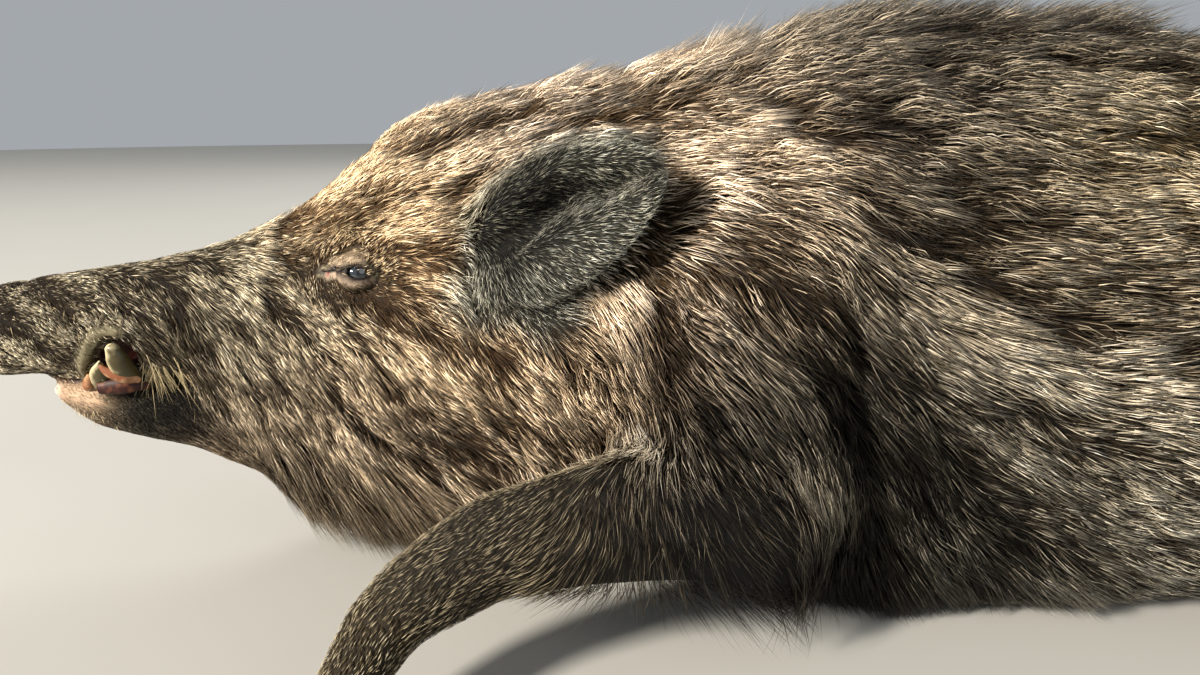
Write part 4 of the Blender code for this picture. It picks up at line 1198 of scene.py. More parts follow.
def bare_parts(points, normals, owner):
    """How bare the skin is at each point, its colour there and how wet it is."""
    colours = bpy.context.scene.boar_colours
    seen = side_view(points)
    side = face_side(points, normals, owner)
    behind = seen[:, 0]
    bare = np.zeros(len(points))
    wet = np.zeros(len(points))
    tint = np.tile(np.array(colours.lip), (len(points), 1))

    def paint(share, colour, wetness):
        nonlocal bare, wet, tint
        share = np.clip(share, 0, 1)
        bare = np.maximum(bare, share)
        wet = np.maximum(wet, share * wetness)
        tint = tint * (1 - share[:, None]) + np.array(colour) * share[:, None]

    lip = smooth_step(-path_distance(seen, LIP_RIDGE)[0], -0.0078, -0.0050) * side
    paint(lip * 0.88, colours.lip, 0.2)
    jaw_edge = nodes_with(owner, "lower_jaw") * smooth_step(seen[:, 1], 0.116, 0.134)
    jaw_edge = jaw_edge * smooth_step(-behind, -0.128, -0.095)
    paint(jaw_edge * 0.8, linear("#b99a80"), 0.25)
    tip = smooth_step(-np.hypot(behind - 0.053, (seen[:, 1] - 0.137)), -0.012, -0.004) * (behind < 0.07)
    paint(tip * nodes_with(owner, "lower_jaw"), linear("#d8c2b0"), 0.3)
    disc = smooth_step(-behind, -0.016, -0.008)
    paint(disc, colours.snout, 0.45)
    rim = nodes_with(owner, "snout_disc") * smooth_step(seen[:, 1], 0.195, 0.21)
    paint(rim * 0.6, linear("#a89c84"), 0.2)
    # The opening round the tusks is painted in the mouth's near-black, as the shade inside it.
    notch = smooth_step(-path_distance(seen, TUSK_NOTCH)[0], -0.0135, -0.0095) * side
    paint(notch, colours.mouth, 0.8)
    # The line between the lips is painted dark as the shade in its crease.
    mouth = smooth_step(-path_distance(seen, MOUTH_LINE)[0], -0.0032, -0.0016) * side
    paint(mouth * (behind > 0.06), linear("#2a1711"), 0.6)
    for _, eye_side in SIDES:
        centre = np.array([EYE_CENTRE.x, eye_side * abs(EYE_CENTRE.y), EYE_CENTRE.z])
        near = np.linalg.norm(points - centre, axis=1) < EYE_RADIUS + 0.022
        lids = np.minimum(path_distance(seen, UPPER_LID)[0], path_distance(seen, LOWER_LID)[0])
        # The folds round the eye are painted dark as the shade in their creases; the two bands are the lids' bare skin.
        bands = (
            (LID_BAND, 0.0056, 0.80, "#a8947c", 0.1), (LOWER_BAND, 0.0046, 0.85, "#a18c7a", 0.2),
            (LID_FOLD, 0.0020, 0.85, "#2b2219", 0.0), (UNDER_FOLD, 0.0020, 0.50, "#3d3024", 0.0),
            (REAR_FOLD, 0.0022, 0.80, "#2b2219", 0.0),
        )
        for path, reach, share, code, wetness in bands:
            band = smooth_step(-path_distance(seen, path)[0], -reach, -0.5 * reach)
            paint(near * band * share, linear(code), wetness)
        bare = np.maximum(bare, near * smooth_step(-lids, -0.0042, -0.0022))
        # A dark line along the lids' edges paints the shade of the slit between them, also where it is too narrow to be
        # cut open.
        paint(near * smooth_step(-lids, -0.0021, -0.0010), linear("#1c140f"), 0.6)
        corner = np.hypot(behind - 0.3045, seen[:, 1] - 0.2438)
        paint(near * smooth_step(-corner, -0.0020, -0.0008), linear("#7c3826"), 0.8)
    return bare, tint, wet


def chart_places(points, owner):
    """Where each point lies on an unwrap of the skin: along its part and round it, 0 to 1 each."""
    behind = points[:, 0] - SNOUT_X
    along = behind / 1.52
    level = np.interp(behind, [0.0, 0.3, 0.5, 1.2, 1.5], [0.185, 0.20, 0.20, 0.19, 0.15])
    round_it = np.arctan2(points[:, 1], points[:, 2] - level) / math.tau + 0.5
    return np.stack([along, round_it], axis=1)


def skin_bake_map(points, triangles, owner):
    """The skin's unwrap: the body on one sheet by its length and girth, each limb on its own."""
    place = chart_places(points, owner)
    place = place * np.array([0.98, 0.60]) + np.array([0.01, 0.01])
    group = np.zeros(len(points), int)
    limbs = [n for n in FLESH if "leg_" in n or n.startswith("ear_") or n == "tail"]
    shelf = 0.64
    columns = 9
    for k, name in enumerate(limbs):
        mine = owner == FLESH.index(name)
        if not mine.any():
            continue
        low, high = (np.array(c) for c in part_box(name))
        spread = high - low
        main = int(np.argmax(spread))
        others = [i for i in range(3) if i != main]
        middle = (low + high) / 2
        angle = np.arctan2(points[mine, others[0]] - middle[others[0]], points[mine, others[1]] - middle[others[1]])
        u = np.clip((points[mine, main] - low[main]) / spread[main], -0.05, 1.05)
        cell = np.array([(k % columns) / columns + 0.008, shelf + (k // columns) * 0.17])
        place[mine] = cell + np.stack([u * 0.092 + 0.004, (angle / math.tau + 0.5) * 0.14 + 0.005], axis=1)
        group[mine] = k + 1
    corner = place[triangles]
    mixed = np.ptp(group[triangles], axis=1) > 0
    # A face across two charts, or across a seam, is drawn small at its first corner.
    wide = np.ptp(corner, axis=1).max(axis=1) > 0.06
    lost = mixed | wide
    small = np.array([[0.0, 0.0], [0.002, 0.0], [0.0, 0.002]])
    corner[lost] = corner[lost][:, :1] + small
    return corner.reshape(-1, 2)


BUILT = {}  # the skin's arrays, left by the skin's operator for those of the coat


class BOAR_OT_skin(bpy.types.Operator):
    """Build the one skin inside the solids of the flesh"""

    bl_idname = "boar.skin"
    bl_label = "Skin"

    def execute(self, context):
        """Join, relax, inset and sculpt the skin, and work out how the coat grows on it."""
        sizes = context.scene.boar_skin
        finder = flesh_finder()
        points, triangles = largest_island(*voxel_skin(joined_flesh(), sizes.voxel))
        owner = owners_of(points, finder)
        spreader = Spreader(triangles, len(points))
        rounds = spreader.relax(node_values(owner, 3), 12)
        points = spreader.relax(points, np.round(rounds * (0.003 / sizes.voxel) ** 2))
        normals = point_normals(points, triangles)
        depth = spreader.relax(coat_depth(points, normals, owner), 14)
        points = points - normals * depth[:, None]
        points = spreader.relax(points, np.where(nodes_with(owner, "ear_", "foot"), 1, 4))
        points[:, 2] = np.maximum(points[:, 2], 0.0012)
        fine = nodes_with(owner, "snout", "jaw", "ear_", "foot")
        fine |= nodes_with(owner, "head") & (points[:, 0] < SNOUT_X + 0.36)
        keep = np.where(fine, 1.0, 0.0)
        points, triangles = thinned(points, triangles, sizes.triangles, keep)
        zones = [
            zone_round(TUSK_NOTCH, 0.024), zone_round(MOUTH_LINE, 0.007), eye_zone(0.034), snout_zone,
            zone_round(TUSK_NOTCH, 0.016), eye_zone(0.023),
        ]
        points, triangles = refined(points, triangles, zones)
        owner = owners_of(points, finder)
        normals = Spreader(triangles, len(points)).relax(point_normals(points, triangles), 4)
        points = sculpted_face(points, unit(normals), owner, sizes)
        points = nostril_hollows(points, unit(normals))
        points = shoulder_fold(points, unit(normals), owner, sizes.fold_depth)
        points = lids_over_eye(points, normals)
        points, triangles = open_eyes(points, triangles)
        if len(triangles) > 199000:
            raise RuntimeError(f"the skin has {len(triangles)} triangles; lower its number")
        owner = owners_of(points, finder)
        spreader = Spreader(triangles, len(points))
        normals = point_normals(points, triangles)
        smooth_normals = unit(spreader.relax(normals, 6))

        depth = spreader.relax(coat_depth(points, smooth_normals, owner), 6)
        lie = lie_of_coat(points, smooth_normals, owner)
        lie = flattened(spreader.relax(lie, np.where(nodes_with(owner, "ear_"), 3, 8)), normals)
        shades = shades_at(points, owner)
        shades = spreader.relax(shades.reshape(len(points), 9), 5).reshape(-1, 3, 3)
        bare, tint, wet = bare_parts(points, smooth_normals, owner)
        behind = points[:, 0] - SNOUT_X
        length = node_values(owner, 1)
        width = node_values(owner, 2)
        head = nodes_with(owner, "head")
        length = np.where(head, curve(HEAD_LENGTH, behind), length)
        throat = smooth_step(-points[:, 2], -0.14, -0.08) * smooth_step(behind, 0.15, 0.19)
        length = length + 20 * throat * nodes_with(owner, "head", "lower_jaw")
        width = np.where(head, curve(HEAD_WIDTH, behind), width)
        length = spreader.relax(length, 8)
        eye_gap = path_distance(side_view(points), SLIT)[0] * head + (1 - head)
        near_eye = bump(np.maximum(eye_gap - 0.012, 0), 0.013)
        length = length * (1 - 0.74 * near_eye)
        width = width * (1 - 0.25 * near_eye)
        depth = depth * (1 - 0.65 * near_eye)
        # Above the elbow the short hair of the leg gives way to the shaggy hair of the shoulder.
        upper_arm = nodes_with(owner, "forearm") * smooth_step(behind, 0.465, 0.53)
        length = length + 28 * upper_arm
        under_arm = nodes_with(owner, "forearm") * smooth_step(behind, 0.42, 0.48)
        length = length + 14 * under_arm * smooth_step(-smooth_normals[:, 2], -0.1, 0.6)
        mane = mane_share(points, smooth_normals)
        length = length + MANE_LENGTH * mane
        under = smooth_step(-smooth_normals[:, 2], -0.45, 0.15)
        hang = throat * nodes_with(owner, "head") * smooth_step(-behind, -0.37, -0.33)
        hang = hang + upper_arm * smooth_step(-points[:, 2], -0.13, -0.09) * 0.8
        hang = hang + nodes_with(owner, "shoulder", "chest") * smooth_step(-points[:, 2], -0.10, -0.06) * 0.5
        hang = np.clip(hang, 0, 1) * under
        length = length * (1 + 0.45 * hang)
        near_rim = bump(path_distance(side_view(points), np.array(EAR_LOWER_RIM)[:, [0, 2]])[0], 0.012)
        length = length * (1 - 0.55 * near_rim * nodes_with(owner, "ear_"))
        near_lip = bump(path_distance(side_view(points), LIP_RIDGE)[0], 0.020) * head
        length = length * (1 - 0.60 * near_lip)
        wanted = (1 - bare) * np.where(points[:, 2] < 0.006, 0.25, 1.0)
        wanted = wanted * (1 - 0.6 * smooth_step(-smooth_normals[:, 2], 0.5, 0.95))
        free = 0.8 * nodes_with(owner, "ear_") * (1 - smooth_step(-behind, -0.43, -0.41))
        wanted = wanted * np.clip(25 * 0.7 / np.maximum(length * width, 2.0), 0.5, 3.0) ** 0.6
        BUILT.update(
            free=spreader.relax(free, 3), hang=spreader.relax(hang, 6),
            points=points, triangles=triangles, owner=owner, normals=normals, depth=depth, lie=lie, shades=shades,
            length=length * MM, width=width * MM, mane=mane, wanted=wanted, clumping=spreader.relax(node_values(owner, 4), 8), spacing=node_values(owner, 5) * MM,
            near_eye=near_eye, tree=BVHTree.FromPolygons(points.tolist(), triangles.tolist()),
        )
        mesh = mesh_from_arrays("skin", points, triangles)
        # Under the coat the skin takes less than half its roots' darkest shade, as painted shade in the coat's gaps.
        hairy = shades[:, 0] * 0.45
        add_point_colours(mesh, "marking", hairy * (1 - bare[:, None]) + tint * bare[:, None])
        layer = mesh.attributes.new("wetness", "FLOAT", "POINT")
        layer.data.foreach_set("value", wet.astype(np.float32))
        add_bake_map(mesh, skin_bake_map(points, triangles, owner))
        mesh.materials.append(skin_material())
        finish_piece(add_object("skin", mesh), "coat", *FLESH)
        return {"FINISHED"}


# ---------------------------------------------------------------------------------------------
# The coat
# ---------------------------------------------------------------------------------------------
HEAD_WORDS = ("head", "lower_jaw", "snout_disc")
COAT_PIECES = (
    # (piece, words in its nodes' names, side, from, to along the body, tufts)
    ("coat_face_left", HEAD_WORDS, -1, -1.0, 0.24, 22000),
    ("coat_face_right", HEAD_WORDS, 1, -1.0, 0.24, 11500),
    ("coat_cheek_left", HEAD_WORDS, -1, 0.24, 2.0, 27000),
    ("coat_cheek_right", HEAD_WORDS, 1, 0.24, 2.0, 12500),
    ("coat_neck_left", ("neck",), -1, -1.0, 2.0, 20000),
    ("coat_neck_right", ("neck",), 1, -1.0, 2.0, 11500),
    ("coat_chest_left", ("chest", "shoulder"), -1, -1.0, 2.0, 31000),
    ("coat_chest_right", ("chest", "shoulder"), 1, -1.0, 2.0, 17000),
    ("coat_belly_left", ("belly",), -1, -1.0, 2.0, 17000),
    ("coat_belly_right", ("belly",), 1, -1.0, 2.0, 12000),
    ("coat_rump_left", ("rump", "thigh"), -1, -1.0, 2.0, 14000),
    ("coat_rump_right", ("rump", "thigh"), 1, -1.0, 2.0, 11500),
    ("coat_legs_left", ("forearm", "forefoot", "shank", "hindfoot"), -1, -1.0, 2.0, 15000),
    ("coat_legs_right", ("forearm", "forefoot", "shank", "hindfoot"), 1, -1.0, 2.0, 8500),
    ("coat_ear_left", ("ear_",), -1, -1.0, 2.0, 11000),
    ("coat_ear_right", ("ear_",), 1, -1.0, 2.0, 7000),
    ("coat_tail", ("tail",), 0, -1.0, 2.0, 1500),
)
TUFT_PATCH = 0.0015          # half the width of a tuft's patch on the bake map
ROOT_SUNK = 0.0010           # how deep a tuft's root lies in the skin


def scattered_roots(mine, count, random):
    """Random roots over the chosen faces: their faces and their places in them."""
    points, triangles = BUILT["points"], BUILT["triangles"][mine]
    a, b, c = (points[triangles[:, i]] for i in range(3))
    area = np.linalg.norm(np.cross(b - a, c - a), axis=1) / 2
    weight = area * BUILT["wanted"][triangles].mean(axis=1)
    total = np.cumsum(weight)
    picks = (np.arange(count) + random.random(count)) / count * total[-1]
    face = np.minimum(np.searchsorted(total, picks), len(total) - 1)
    u, v = random.random(count), random.random(count)
    over = u + v > 1
    u[over], v[over] = 1 - u[over], 1 - v[over]
    return triangles[face], np.stack([1 - u - v, u, v], axis=1)


def at_roots(values, corners, shares):
    """A field of the skin's points read at the roots."""
    picked = values[corners]
    return np.einsum("ij,ij...->i...", shares, picked)


def on_skin(places):
    """The nearest skin to each place: its point, normal, the way the coat lies and its shades."""
    tree, triangles = BUILT["tree"], BUILT["triangles"]
    found = [tree.find_nearest(p) for p in places.tolist()]
    spots = np.array([f[0] for f in found])
    faces = np.array([f[2] for f in found])
    corners = triangles[faces]
    normals = unit(BUILT["normals"][corners].mean(axis=1))
    lies = BUILT["lie"][corners].mean(axis=1)
    return spots, normals, flattened(lies, normals), BUILT["shades"][corners].mean(axis=1)


def spread_out(places, spacing, random):
    """Numbers of places that lie about a spacing apart."""
    order = random.permutation(len(places))
    cells = np.floor(places[order] / spacing).astype(np.int64)
    key = (cells[:, 0] * 73856093) ^ (cells[:, 1] * 19349663) ^ (cells[:, 2] * 83492791)
    return order[np.unique(key, return_index=True)[1]]


def search_tree(places):
    """A search tree of places."""
    tree = KDTree(len(places))
    for i, place in enumerate(places.tolist()):
        tree.insert(place, i)
    tree.balance()
    return tree


def gathered(roots, tips, strength, spacing, random):
    """The tips drawn together into wisps: each towards the tip of its wisp's middle tuft."""
    chosen = spread_out(roots, spacing, random)
    tree = search_tree(roots[chosen])
    nearest = chosen[[tree.find(p)[1] for p in roots.tolist()]]
    aim = tips[nearest] + (roots - roots[nearest]) * 0.25
    return tips + (aim - tips) * strength[:, None], nearest


def locks_along(roots, lie, spacing, random):
    """Locks that run along the coat: for each root a value from about -1 in a gap to 1 on a
    crest, and the direction across the coat towards the crest."""
    chosen = spread_out(roots, spacing, random)
    places, heading = roots[chosen], lie[chosen]
    tree = search_tree(places)
    near = np.array([[n[1] for n in tree.find_n(p, 12)] for p in places.tolist()])
    offset = places[near] - places[:, None]
    along = np.einsum("ijk,ik->ij", offset, heading)
    across = offset - along[..., None] * heading[:, None]
    weight = np.exp(-np.sum(across**2, axis=2) / (0.62 * spacing) ** 2)
    weight /= weight.sum(axis=1, keepdims=True)
    value = random.normal(size=len(places))
    for _ in range(14):
        value = np.sum(weight * value[near], axis=1)
    value = (value - value.mean()) / value.std()
    slope = np.sum((value[near] - value[:, None])[..., None] * across, axis=1)
    slope = unit(slope)
    own = np.array([tree.find(p)[1] for p in roots.tolist()])
    return np.clip(value[own] * 0.75, -1.3, 1.3), slope[own]


def grown_tufts(corners, shares, random):
    """Where each tuft's root, middle and tip lie, and what its colour and width need."""
    coat = bpy.context.scene.boar_coat
    root = at_roots(BUILT["points"], corners, shares)
    normal = unit(at_roots(BUILT["normals"], corners, shares))
    lie = flattened(at_roots(BUILT["lie"], corners, shares), normal)
    depth = at_roots(BUILT["depth"], corners, shares)
    length = at_roots(BUILT["length"], corners, shares) * coat.length
    mane = at_roots(BUILT["mane"], corners, shares)
    clumping = at_roots(BUILT["clumping"], corners, shares)
    free = at_roots(BUILT["free"], corners, shares)
    count = len(root)
    spacing = float(np.median(at_roots(BUILT["spacing"], corners, shares)))
    crest, towards = locks_along(root, lie, spacing, random)
    length = length * random.uniform(0.62, 1.15, count) * (1 + 0.12 * ripple(root, 0.05, 5) + 0.12 * crest)
    sway = 0.12 * random.normal(size=count) + 0.13 * ripple(root, 0.045, 11) + 0.08 * ripple(root, 0.016, 12)
    stray = random.random(count) < 0.07
    sway = np.where(stray, sway * 2.6, sway)
    across = np.cross(normal, lie)
    heading = unit(lie + across * sway[:, None] + towards * (0.42 * clumping * (1 - crest))[:, None])
    lift = random.uniform(0.12, 0.36, count) + 0.55 * mane + np.where(stray, 0.25, 0.0)
    middle = root + (heading * np.cos(lift)[:, None] + normal * np.sin(lift)[:, None]) * (length * 0.55)[:, None]
    spot, normal_mid, lie_mid, shades = on_skin(middle)
    level = np.sqrt(random.random(count))
    proud = np.clip(0.80 + 0.34 * crest * (0.4 + clumping), 0.2, 1.25)
    laid = spot + normal_mid * (depth * (0.16 + 0.60 * level) * proud)[:, None]
    # On a thin sheet the tufts keep their own line and may stand past its rim.
    middle = laid + (middle - laid) * free[:, None]
    normal_mid = unit(normal_mid + (normal - normal_mid) * free[:, None])
    across_mid = np.cross(normal_mid, lie_mid)
    heading_mid = unit(lie_mid + across_mid * (sway * 0.9)[:, None])
    heading = unit(heading_mid + (heading - heading_mid) * free[:, None])
    tip = middle + (heading + normal_mid * (0.60 * mane)[:, None]) * (length * 0.45)[:, None]
    spot, normal_tip, _, shades_tip = on_skin(tip)
    shades = shades + (shades_tip - shades) * 0.6
    tip_rise = depth * (0.12 + 0.88 * level * random.uniform(0.5, 1.0, count)) * proud
    tip_rise = tip_rise + mane * length * 0.24 + np.where(stray, depth * 0.35, 0.0)
    laid = spot + normal_tip * tip_rise[:, None]
    tip = laid + (tip - laid) * free[:, None]
    # Long hair under the throat and the arm hangs clear of the skin.
    fall = at_roots(BUILT["hang"], corners, shares) * length * random.uniform(0.3, 1.0, count)
    middle[:, 2] -= 0.22 * fall
    tip[:, 2] -= 0.80 * fall
    tip[:, 1] += 0.15 * fall * np.sign(root[:, 1])
    own = at_roots(BUILT["shades"], corners, shares)
    shades = shades + (own - shades) * np.clip(free * 1.25, 0, 1)[:, None, None]
    return root, middle, tip, normal, normal_mid, level, crest, shades


def build_coat_piece(name, words, side, start, end, count, seed, material):
    """One piece of the coat: its tufts as closed spindles, joined in one mesh."""
    coat = bpy.context.scene.boar_coat
    random = np.random.default_rng(seed)
    points, triangles = BUILT["points"], BUILT["triangles"]
    middle_of = points[triangles].mean(axis=1)
    mine = nodes_with(BUILT["owner"][triangles[:, 0]], *words)
    mine &= (middle_of[:, 0] - SNOUT_X >= start) & (middle_of[:, 0] - SNOUT_X < end)
    if side:
        mine &= middle_of[:, 1] * side >= 0
    count = int(count * coat.density * (1.0))
    corners, shares = scattered_roots(mine, count, random)
    root, middle, tip, normal, normal_mid, level, crest, shades = grown_tufts(corners, shares, random)

    clumping = at_roots(BUILT["clumping"], corners, shares)
    shaggy = 0.05 + 1.5 * clumping
    clumping = clumping * random.uniform(0.4, 1.25, count)
    spacing = float(np.median(at_roots(BUILT["spacing"], corners, shares))) * 1.4
    tip, lock = gathered(root, tip, np.clip(clumping, 0, 0.92), spacing, random)
    # Bristles are stiff: the middle keeps near the straight line from root to tip.
    bow = root + (tip - root) * 0.55 - middle
    middle = middle + (bow - normal_mid * np.einsum("ij,ij->i", bow, normal_mid)[:, None]) * 0.75
    for part in (middle, tip):
        part[:, 2] = np.maximum(part[:, 2], 0.0012 + 0.001 * random.random(count))

    width = at_roots(BUILT["width"], corners, shares) * coat.width * random.uniform(0.7, 1.3, count)
    base = root - normal * ROOT_SUNK
    forward = unit(tip - root)
    outward = flattened(normal_mid, forward)
    roll = random.normal(size=count) * 0.35
    across = np.cross(forward, outward) * np.cos(roll)[:, None] + outward * np.sin(roll)[:, None]
    outward = np.cross(across, forward)
    half = (width / 2)[:, None]
    left = middle - across * half - outward * half * 0.25
    right = middle + across * half - outward * half * 0.25
    ridge = middle + outward * half * 0.75
    for part in (left, right, ridge, base):
        part[:, 2] = np.maximum(part[:, 2], 0.0006)
    all_points = np.stack([base, left, right, ridge, tip], axis=1).reshape(-1, 3)
    pattern = np.array([[0, 2, 1], [0, 1, 3], [0, 3, 2], [4, 1, 2], [4, 3, 1], [4, 2, 3]])
    faces = (pattern[None] + 5 * np.arange(count)[:, None, None]).reshape(-1, 3)
    mesh = mesh_from_arrays(name, all_points, faces)
    add_point_colours(mesh, "marking", tuft_colours(root, shades, shaggy, lock, level, crest, random).reshape(-1, 3))

    place = piece_places(root, words, side)
    patch = TUFT_PATCH * np.array([[0, -1], [-1, 0], [1, 0], [0, 0.2], [0, 1]])
    corner_places = (place[:, None] + patch[None]).reshape(-1, 2)
    add_bake_map(mesh, corner_places[faces.ravel()])
    mesh.materials.append(material)
    obj = add_object(name, mesh)
    finish_piece(obj, "dark_coat" if "ear" in name or "legs" in name or "tail" in name else "coat")
    return obj


def piece_places(root, words, side):
    """Where each root lies on the unwrap of its piece: along the part and round it, 0 to 1 each."""
    low, high = root.min(axis=0), root.max(axis=0)
    middle = (low + high) / 2
    u = (root[:, 0] - low[0]) / (high[0] - low[0])
    if words[0] in ("ear_", "forearm"):
        v = np.arctan2(root[:, 1] - middle[1], root[:, 2] - middle[2]) / math.tau + 0.5
    else:
        v = np.arctan2(root[:, 1], root[:, 2] - 0.19) / math.tau + 0.5
    v = (v - v.min()) / (v.max() - v.min())
    return np.stack([u, v], axis=1) * 0.99 + 0.005


def tuft_colours(root, shades, shaggy, lock, level, crest, random):
    """Colours at each tuft's root, ring and tip, from the marking where it grows."""
    coat = bpy.context.scene.boar_coat
    count = len(root)
    dark, mid, light = np.moveaxis(shades, 1, 0)
    tone = random.normal(size=count) * 0.78 + ripple(root, 0.012, 21) * 0.22 + ripple(root, 0.06, 22) * 0.10
    # Tufts lying low in the coat and in the gaps between locks are darker as painted shade; those on top and on the
    # locks' crests are lighter as painted light.
    tone = tone + random.normal(size=count)[lock] * 0.30 + (level - 0.66) * 1.5 + crest * shaggy
    tone = tone * np.clip(0.30 + shaggy, 0.5, 1.0)
    blackish = random.random(count) < coat.dark_share
    tone = np.where(blackish, tone - 1.1, tone)[:, None]

    def toned(tone, reach):
        lighter = mid + (light - mid) * np.clip(tone * reach, 0, 1.15)
        return np.where(tone < 0, mid + (dark - mid) * np.clip(-tone, 0, 1), lighter)

    ring = toned(tone - 0.60, 0.6)
    tip = toned(tone + 0.65, 0.85)
    cool = np.where(random.random(count) < 0.18, 1.0, 0.0)[:, None] * np.array([-0.05, 0.01, 0.12])
    out = np.stack([dark * 0.5, ring, ring, ring, tip], axis=1) * (1 + cool[:, None])
    return out * coat.brightness


class BOAR_OT_coat(bpy.types.Operator):
    """Grow the coat over the skin, piece by piece"""

    bl_idname = "boar.coat"
    bl_label = "Coat"

    def execute(self, context):
        """Build every piece of the coat."""
        if not BUILT:
            raise RuntimeError("the skin comes before the coat")
        material = bristle_material()
        for seed, piece in enumerate(COAT_PIECES, start=100):
            build_coat_piece(*piece, seed, material)
        return {"FINISHED"}


# ---------------------------------------------------------------------------------------------
# Bristles that stand singly, by Geometry Nodes
# ---------------------------------------------------------------------------------------------
def bristle_tree():
    """A node tree that stands a tapered bristle on each point, along the point's aim."""
    tree = bpy.data.node_groups.new("standing_bristles", "GeometryNodeTree")
    face = tree.interface
    face.new_socket("Geometry", in_out="INPUT", socket_type="NodeSocketGeometry")
    thickness = face.new_socket("Thickness", in_out="INPUT", socket_type="NodeSocketFloat")
    thickness.default_value = 0.0006
    variation = face.new_socket("Variation", in_out="INPUT", socket_type="NodeSocketFloat")
    variation.default_value = 0.3
    face.new_socket("Finish", in_out="INPUT", socket_type="NodeSocketMaterial")
    face.new_socket("Geometry", in_out="OUTPUT", socket_type="NodeSocketGeometry")
    start = add_node(tree, "NodeGroupInput").outputs
    cone = add_node(tree, "GeometryNodeMeshCone", Vertices=5, Side_Segments=4, Radius_Top=0.04, Radius_Bottom=0.5, Depth=1.0)
    aim = add_node(tree, "GeometryNodeInputNamedAttribute", {"data_type": "FLOAT_VECTOR"}, Name="aim").outputs[0]
    turn = add_node(tree, "FunctionNodeAlignEulerToVector", {"axis": "Z"}, Vector=aim).outputs[0]
    reach = add_node(tree, "ShaderNodeVectorMath", {"operation": "LENGTH"}, _0=aim).outputs["Value"]
    low = add_node(tree, "ShaderNodeMath", {"operation": "SUBTRACT"}, _0=1.0, _1=start["Variation"]).outputs[0]
    vary = add_node(tree, "FunctionNodeRandomValue", {"data_type": "FLOAT"}, _2=low, _3=1.0, Seed=7).outputs[1]
    long = add_node(tree, "ShaderNodeMath", {"operation": "MULTIPLY"}, _0=reach, _1=vary).outputs[0]
    size = add_node(tree, "ShaderNodeCombineXYZ", X=start["Thickness"], Y=start["Thickness"], Z=long).outputs[0]
    placed = add_node(
        tree, "GeometryNodeInstanceOnPoints", Points=start["Geometry"], Instance=cone.outputs["Mesh"], Rotation=turn, Scale=size,
    ).outputs[0]
    real = add_node(tree, "GeometryNodeRealizeInstances", Geometry=placed).outputs[0]
    painted = add_node(tree, "GeometryNodeSetMaterial", Geometry=real, Material=start["Finish"]).outputs[0]
    add_node(tree, "NodeGroupOutput", Geometry=painted)
    return tree


def build_bristles(name, roots, aims, thickness, material, tree):
    """A piece of single bristles at the roots, each as long as its aim."""
    mesh = bpy.data.meshes.new(name + "_roots")
    mesh.from_pydata(np.asarray(roots).tolist(), [], [])
    layer = mesh.attributes.new("aim", "FLOAT_VECTOR", "POINT")
    layer.data.foreach_set("vector", np.ascontiguousarray(aims, np.float32).ravel())
    holder = add_object(name + "_roots", mesh)
    modifier = holder.modifiers.new("standing_bristles", "NODES")
    sockets = {item.name: item.identifier for item in tree.interface.items_tree if item.in_out == "INPUT"}
    modifier.node_group = tree
    modifier[sockets["Thickness"]] = thickness
    modifier[sockets["Finish"]] = material
    made = final_mesh(holder, name)
    obj = add_object(name, made)
    finish_piece(obj, "coat")
    return obj


class BOAR_OT_bristles(bpy.types.Operator):
    """Set the whiskers round the mouth and the lashes of the eyes"""

    bl_idname = "boar.bristles"
    bl_label = "Whiskers and lashes"

    def execute(self, context):
        """Find roots on the skin and stand a bristle on each."""
        colours = context.scene.boar_colours
        tree = bristle_tree()
        random = np.random.default_rng(41)
        pale = plain_bristle_material("pale_whisker", colours.whisker)
        dark = plain_bristle_material("dark_lash", colours.lash)
        for word, side in SIDES:
            patches = (
                # (behind, height, spread along, spread up, bristles, length, droop, lift)
                (0.146, 0.164, 0.005, 0.005, 26, 0.032, 94, 0.50),
                (0.154, 0.163, 0.008, 0.007, 36, 0.042, 84, 0.50),
                (0.170, 0.160, 0.013, 0.010, 34, 0.044, 72, 0.45),
                (0.080, 0.200, 0.035, 0.012, 18, 0.013, 40, 0.9),
                (0.080, 0.118, 0.022, 0.012, 24, 0.011, 20, 0.8),
                (0.320, 0.276, 0.014, 0.003, 20, 0.022, 10, 0.9),
            )
            roots, aims = [], []
            for behind, height, wide, high, count, length, droop, lift in patches:
                place = np.stack([
                    SNOUT_X + behind + wide * random.normal(size=count) * 0.6,
                    np.full(count, side * 0.30),
                    height + high * random.normal(size=count) * 0.6,
                ], axis=1)
                for spot in place.tolist():
                    hit, normal, _, _ = BUILT["tree"].ray_cast(Vector(spot), Vector((0.0, -side, 0.0)))
                    if hit is None:
                        continue
                    angle = math.radians(droop + random.normal() * 16)
                    flat = Vector((math.cos(angle), 0.0, -math.sin(angle)))
                    aim = (flat - normal * flat.dot(normal)).normalized() + normal * lift * random.uniform(0.6, 1.3)
                    roots.append(hit[:])
                    aims.append((aim.normalized() * length * random.uniform(0.6, 1.15))[:])
            build_bristles(f"whiskers_{word}", roots, aims, 0.0007, pale, tree)
            roots, aims = [], []
            centre = Vector((EYE_CENTRE.x, side * abs(EYE_CENTRE.y), EYE_CENTRE.z))
            for k in range(34):
                behind = 0.306 + 0.038 * (k + random.random() * 0.6) / 34
                place = Vector((SNOUT_X + behind, side * 0.3, float(curve(UPPER_LID, behind)) + 0.0012))
                hit, normal, _, _ = BUILT["tree"].ray_cast(place, Vector((0.0, -side, 0.0)))
                if hit is None:
                    continue
                away = (hit - centre).normalized()
                aim = away + Vector((0.35, side * 0.25, 0.10 + 0.3 * random.random()))
                roots.append(hit[:])
                aims.append((aim.normalized() * 0.0085 * random.uniform(0.7, 1.2))[:])
            build_bristles(f"lashes_{word}", roots, aims, 0.0005, dark, tree)
        return {"FINISHED"}


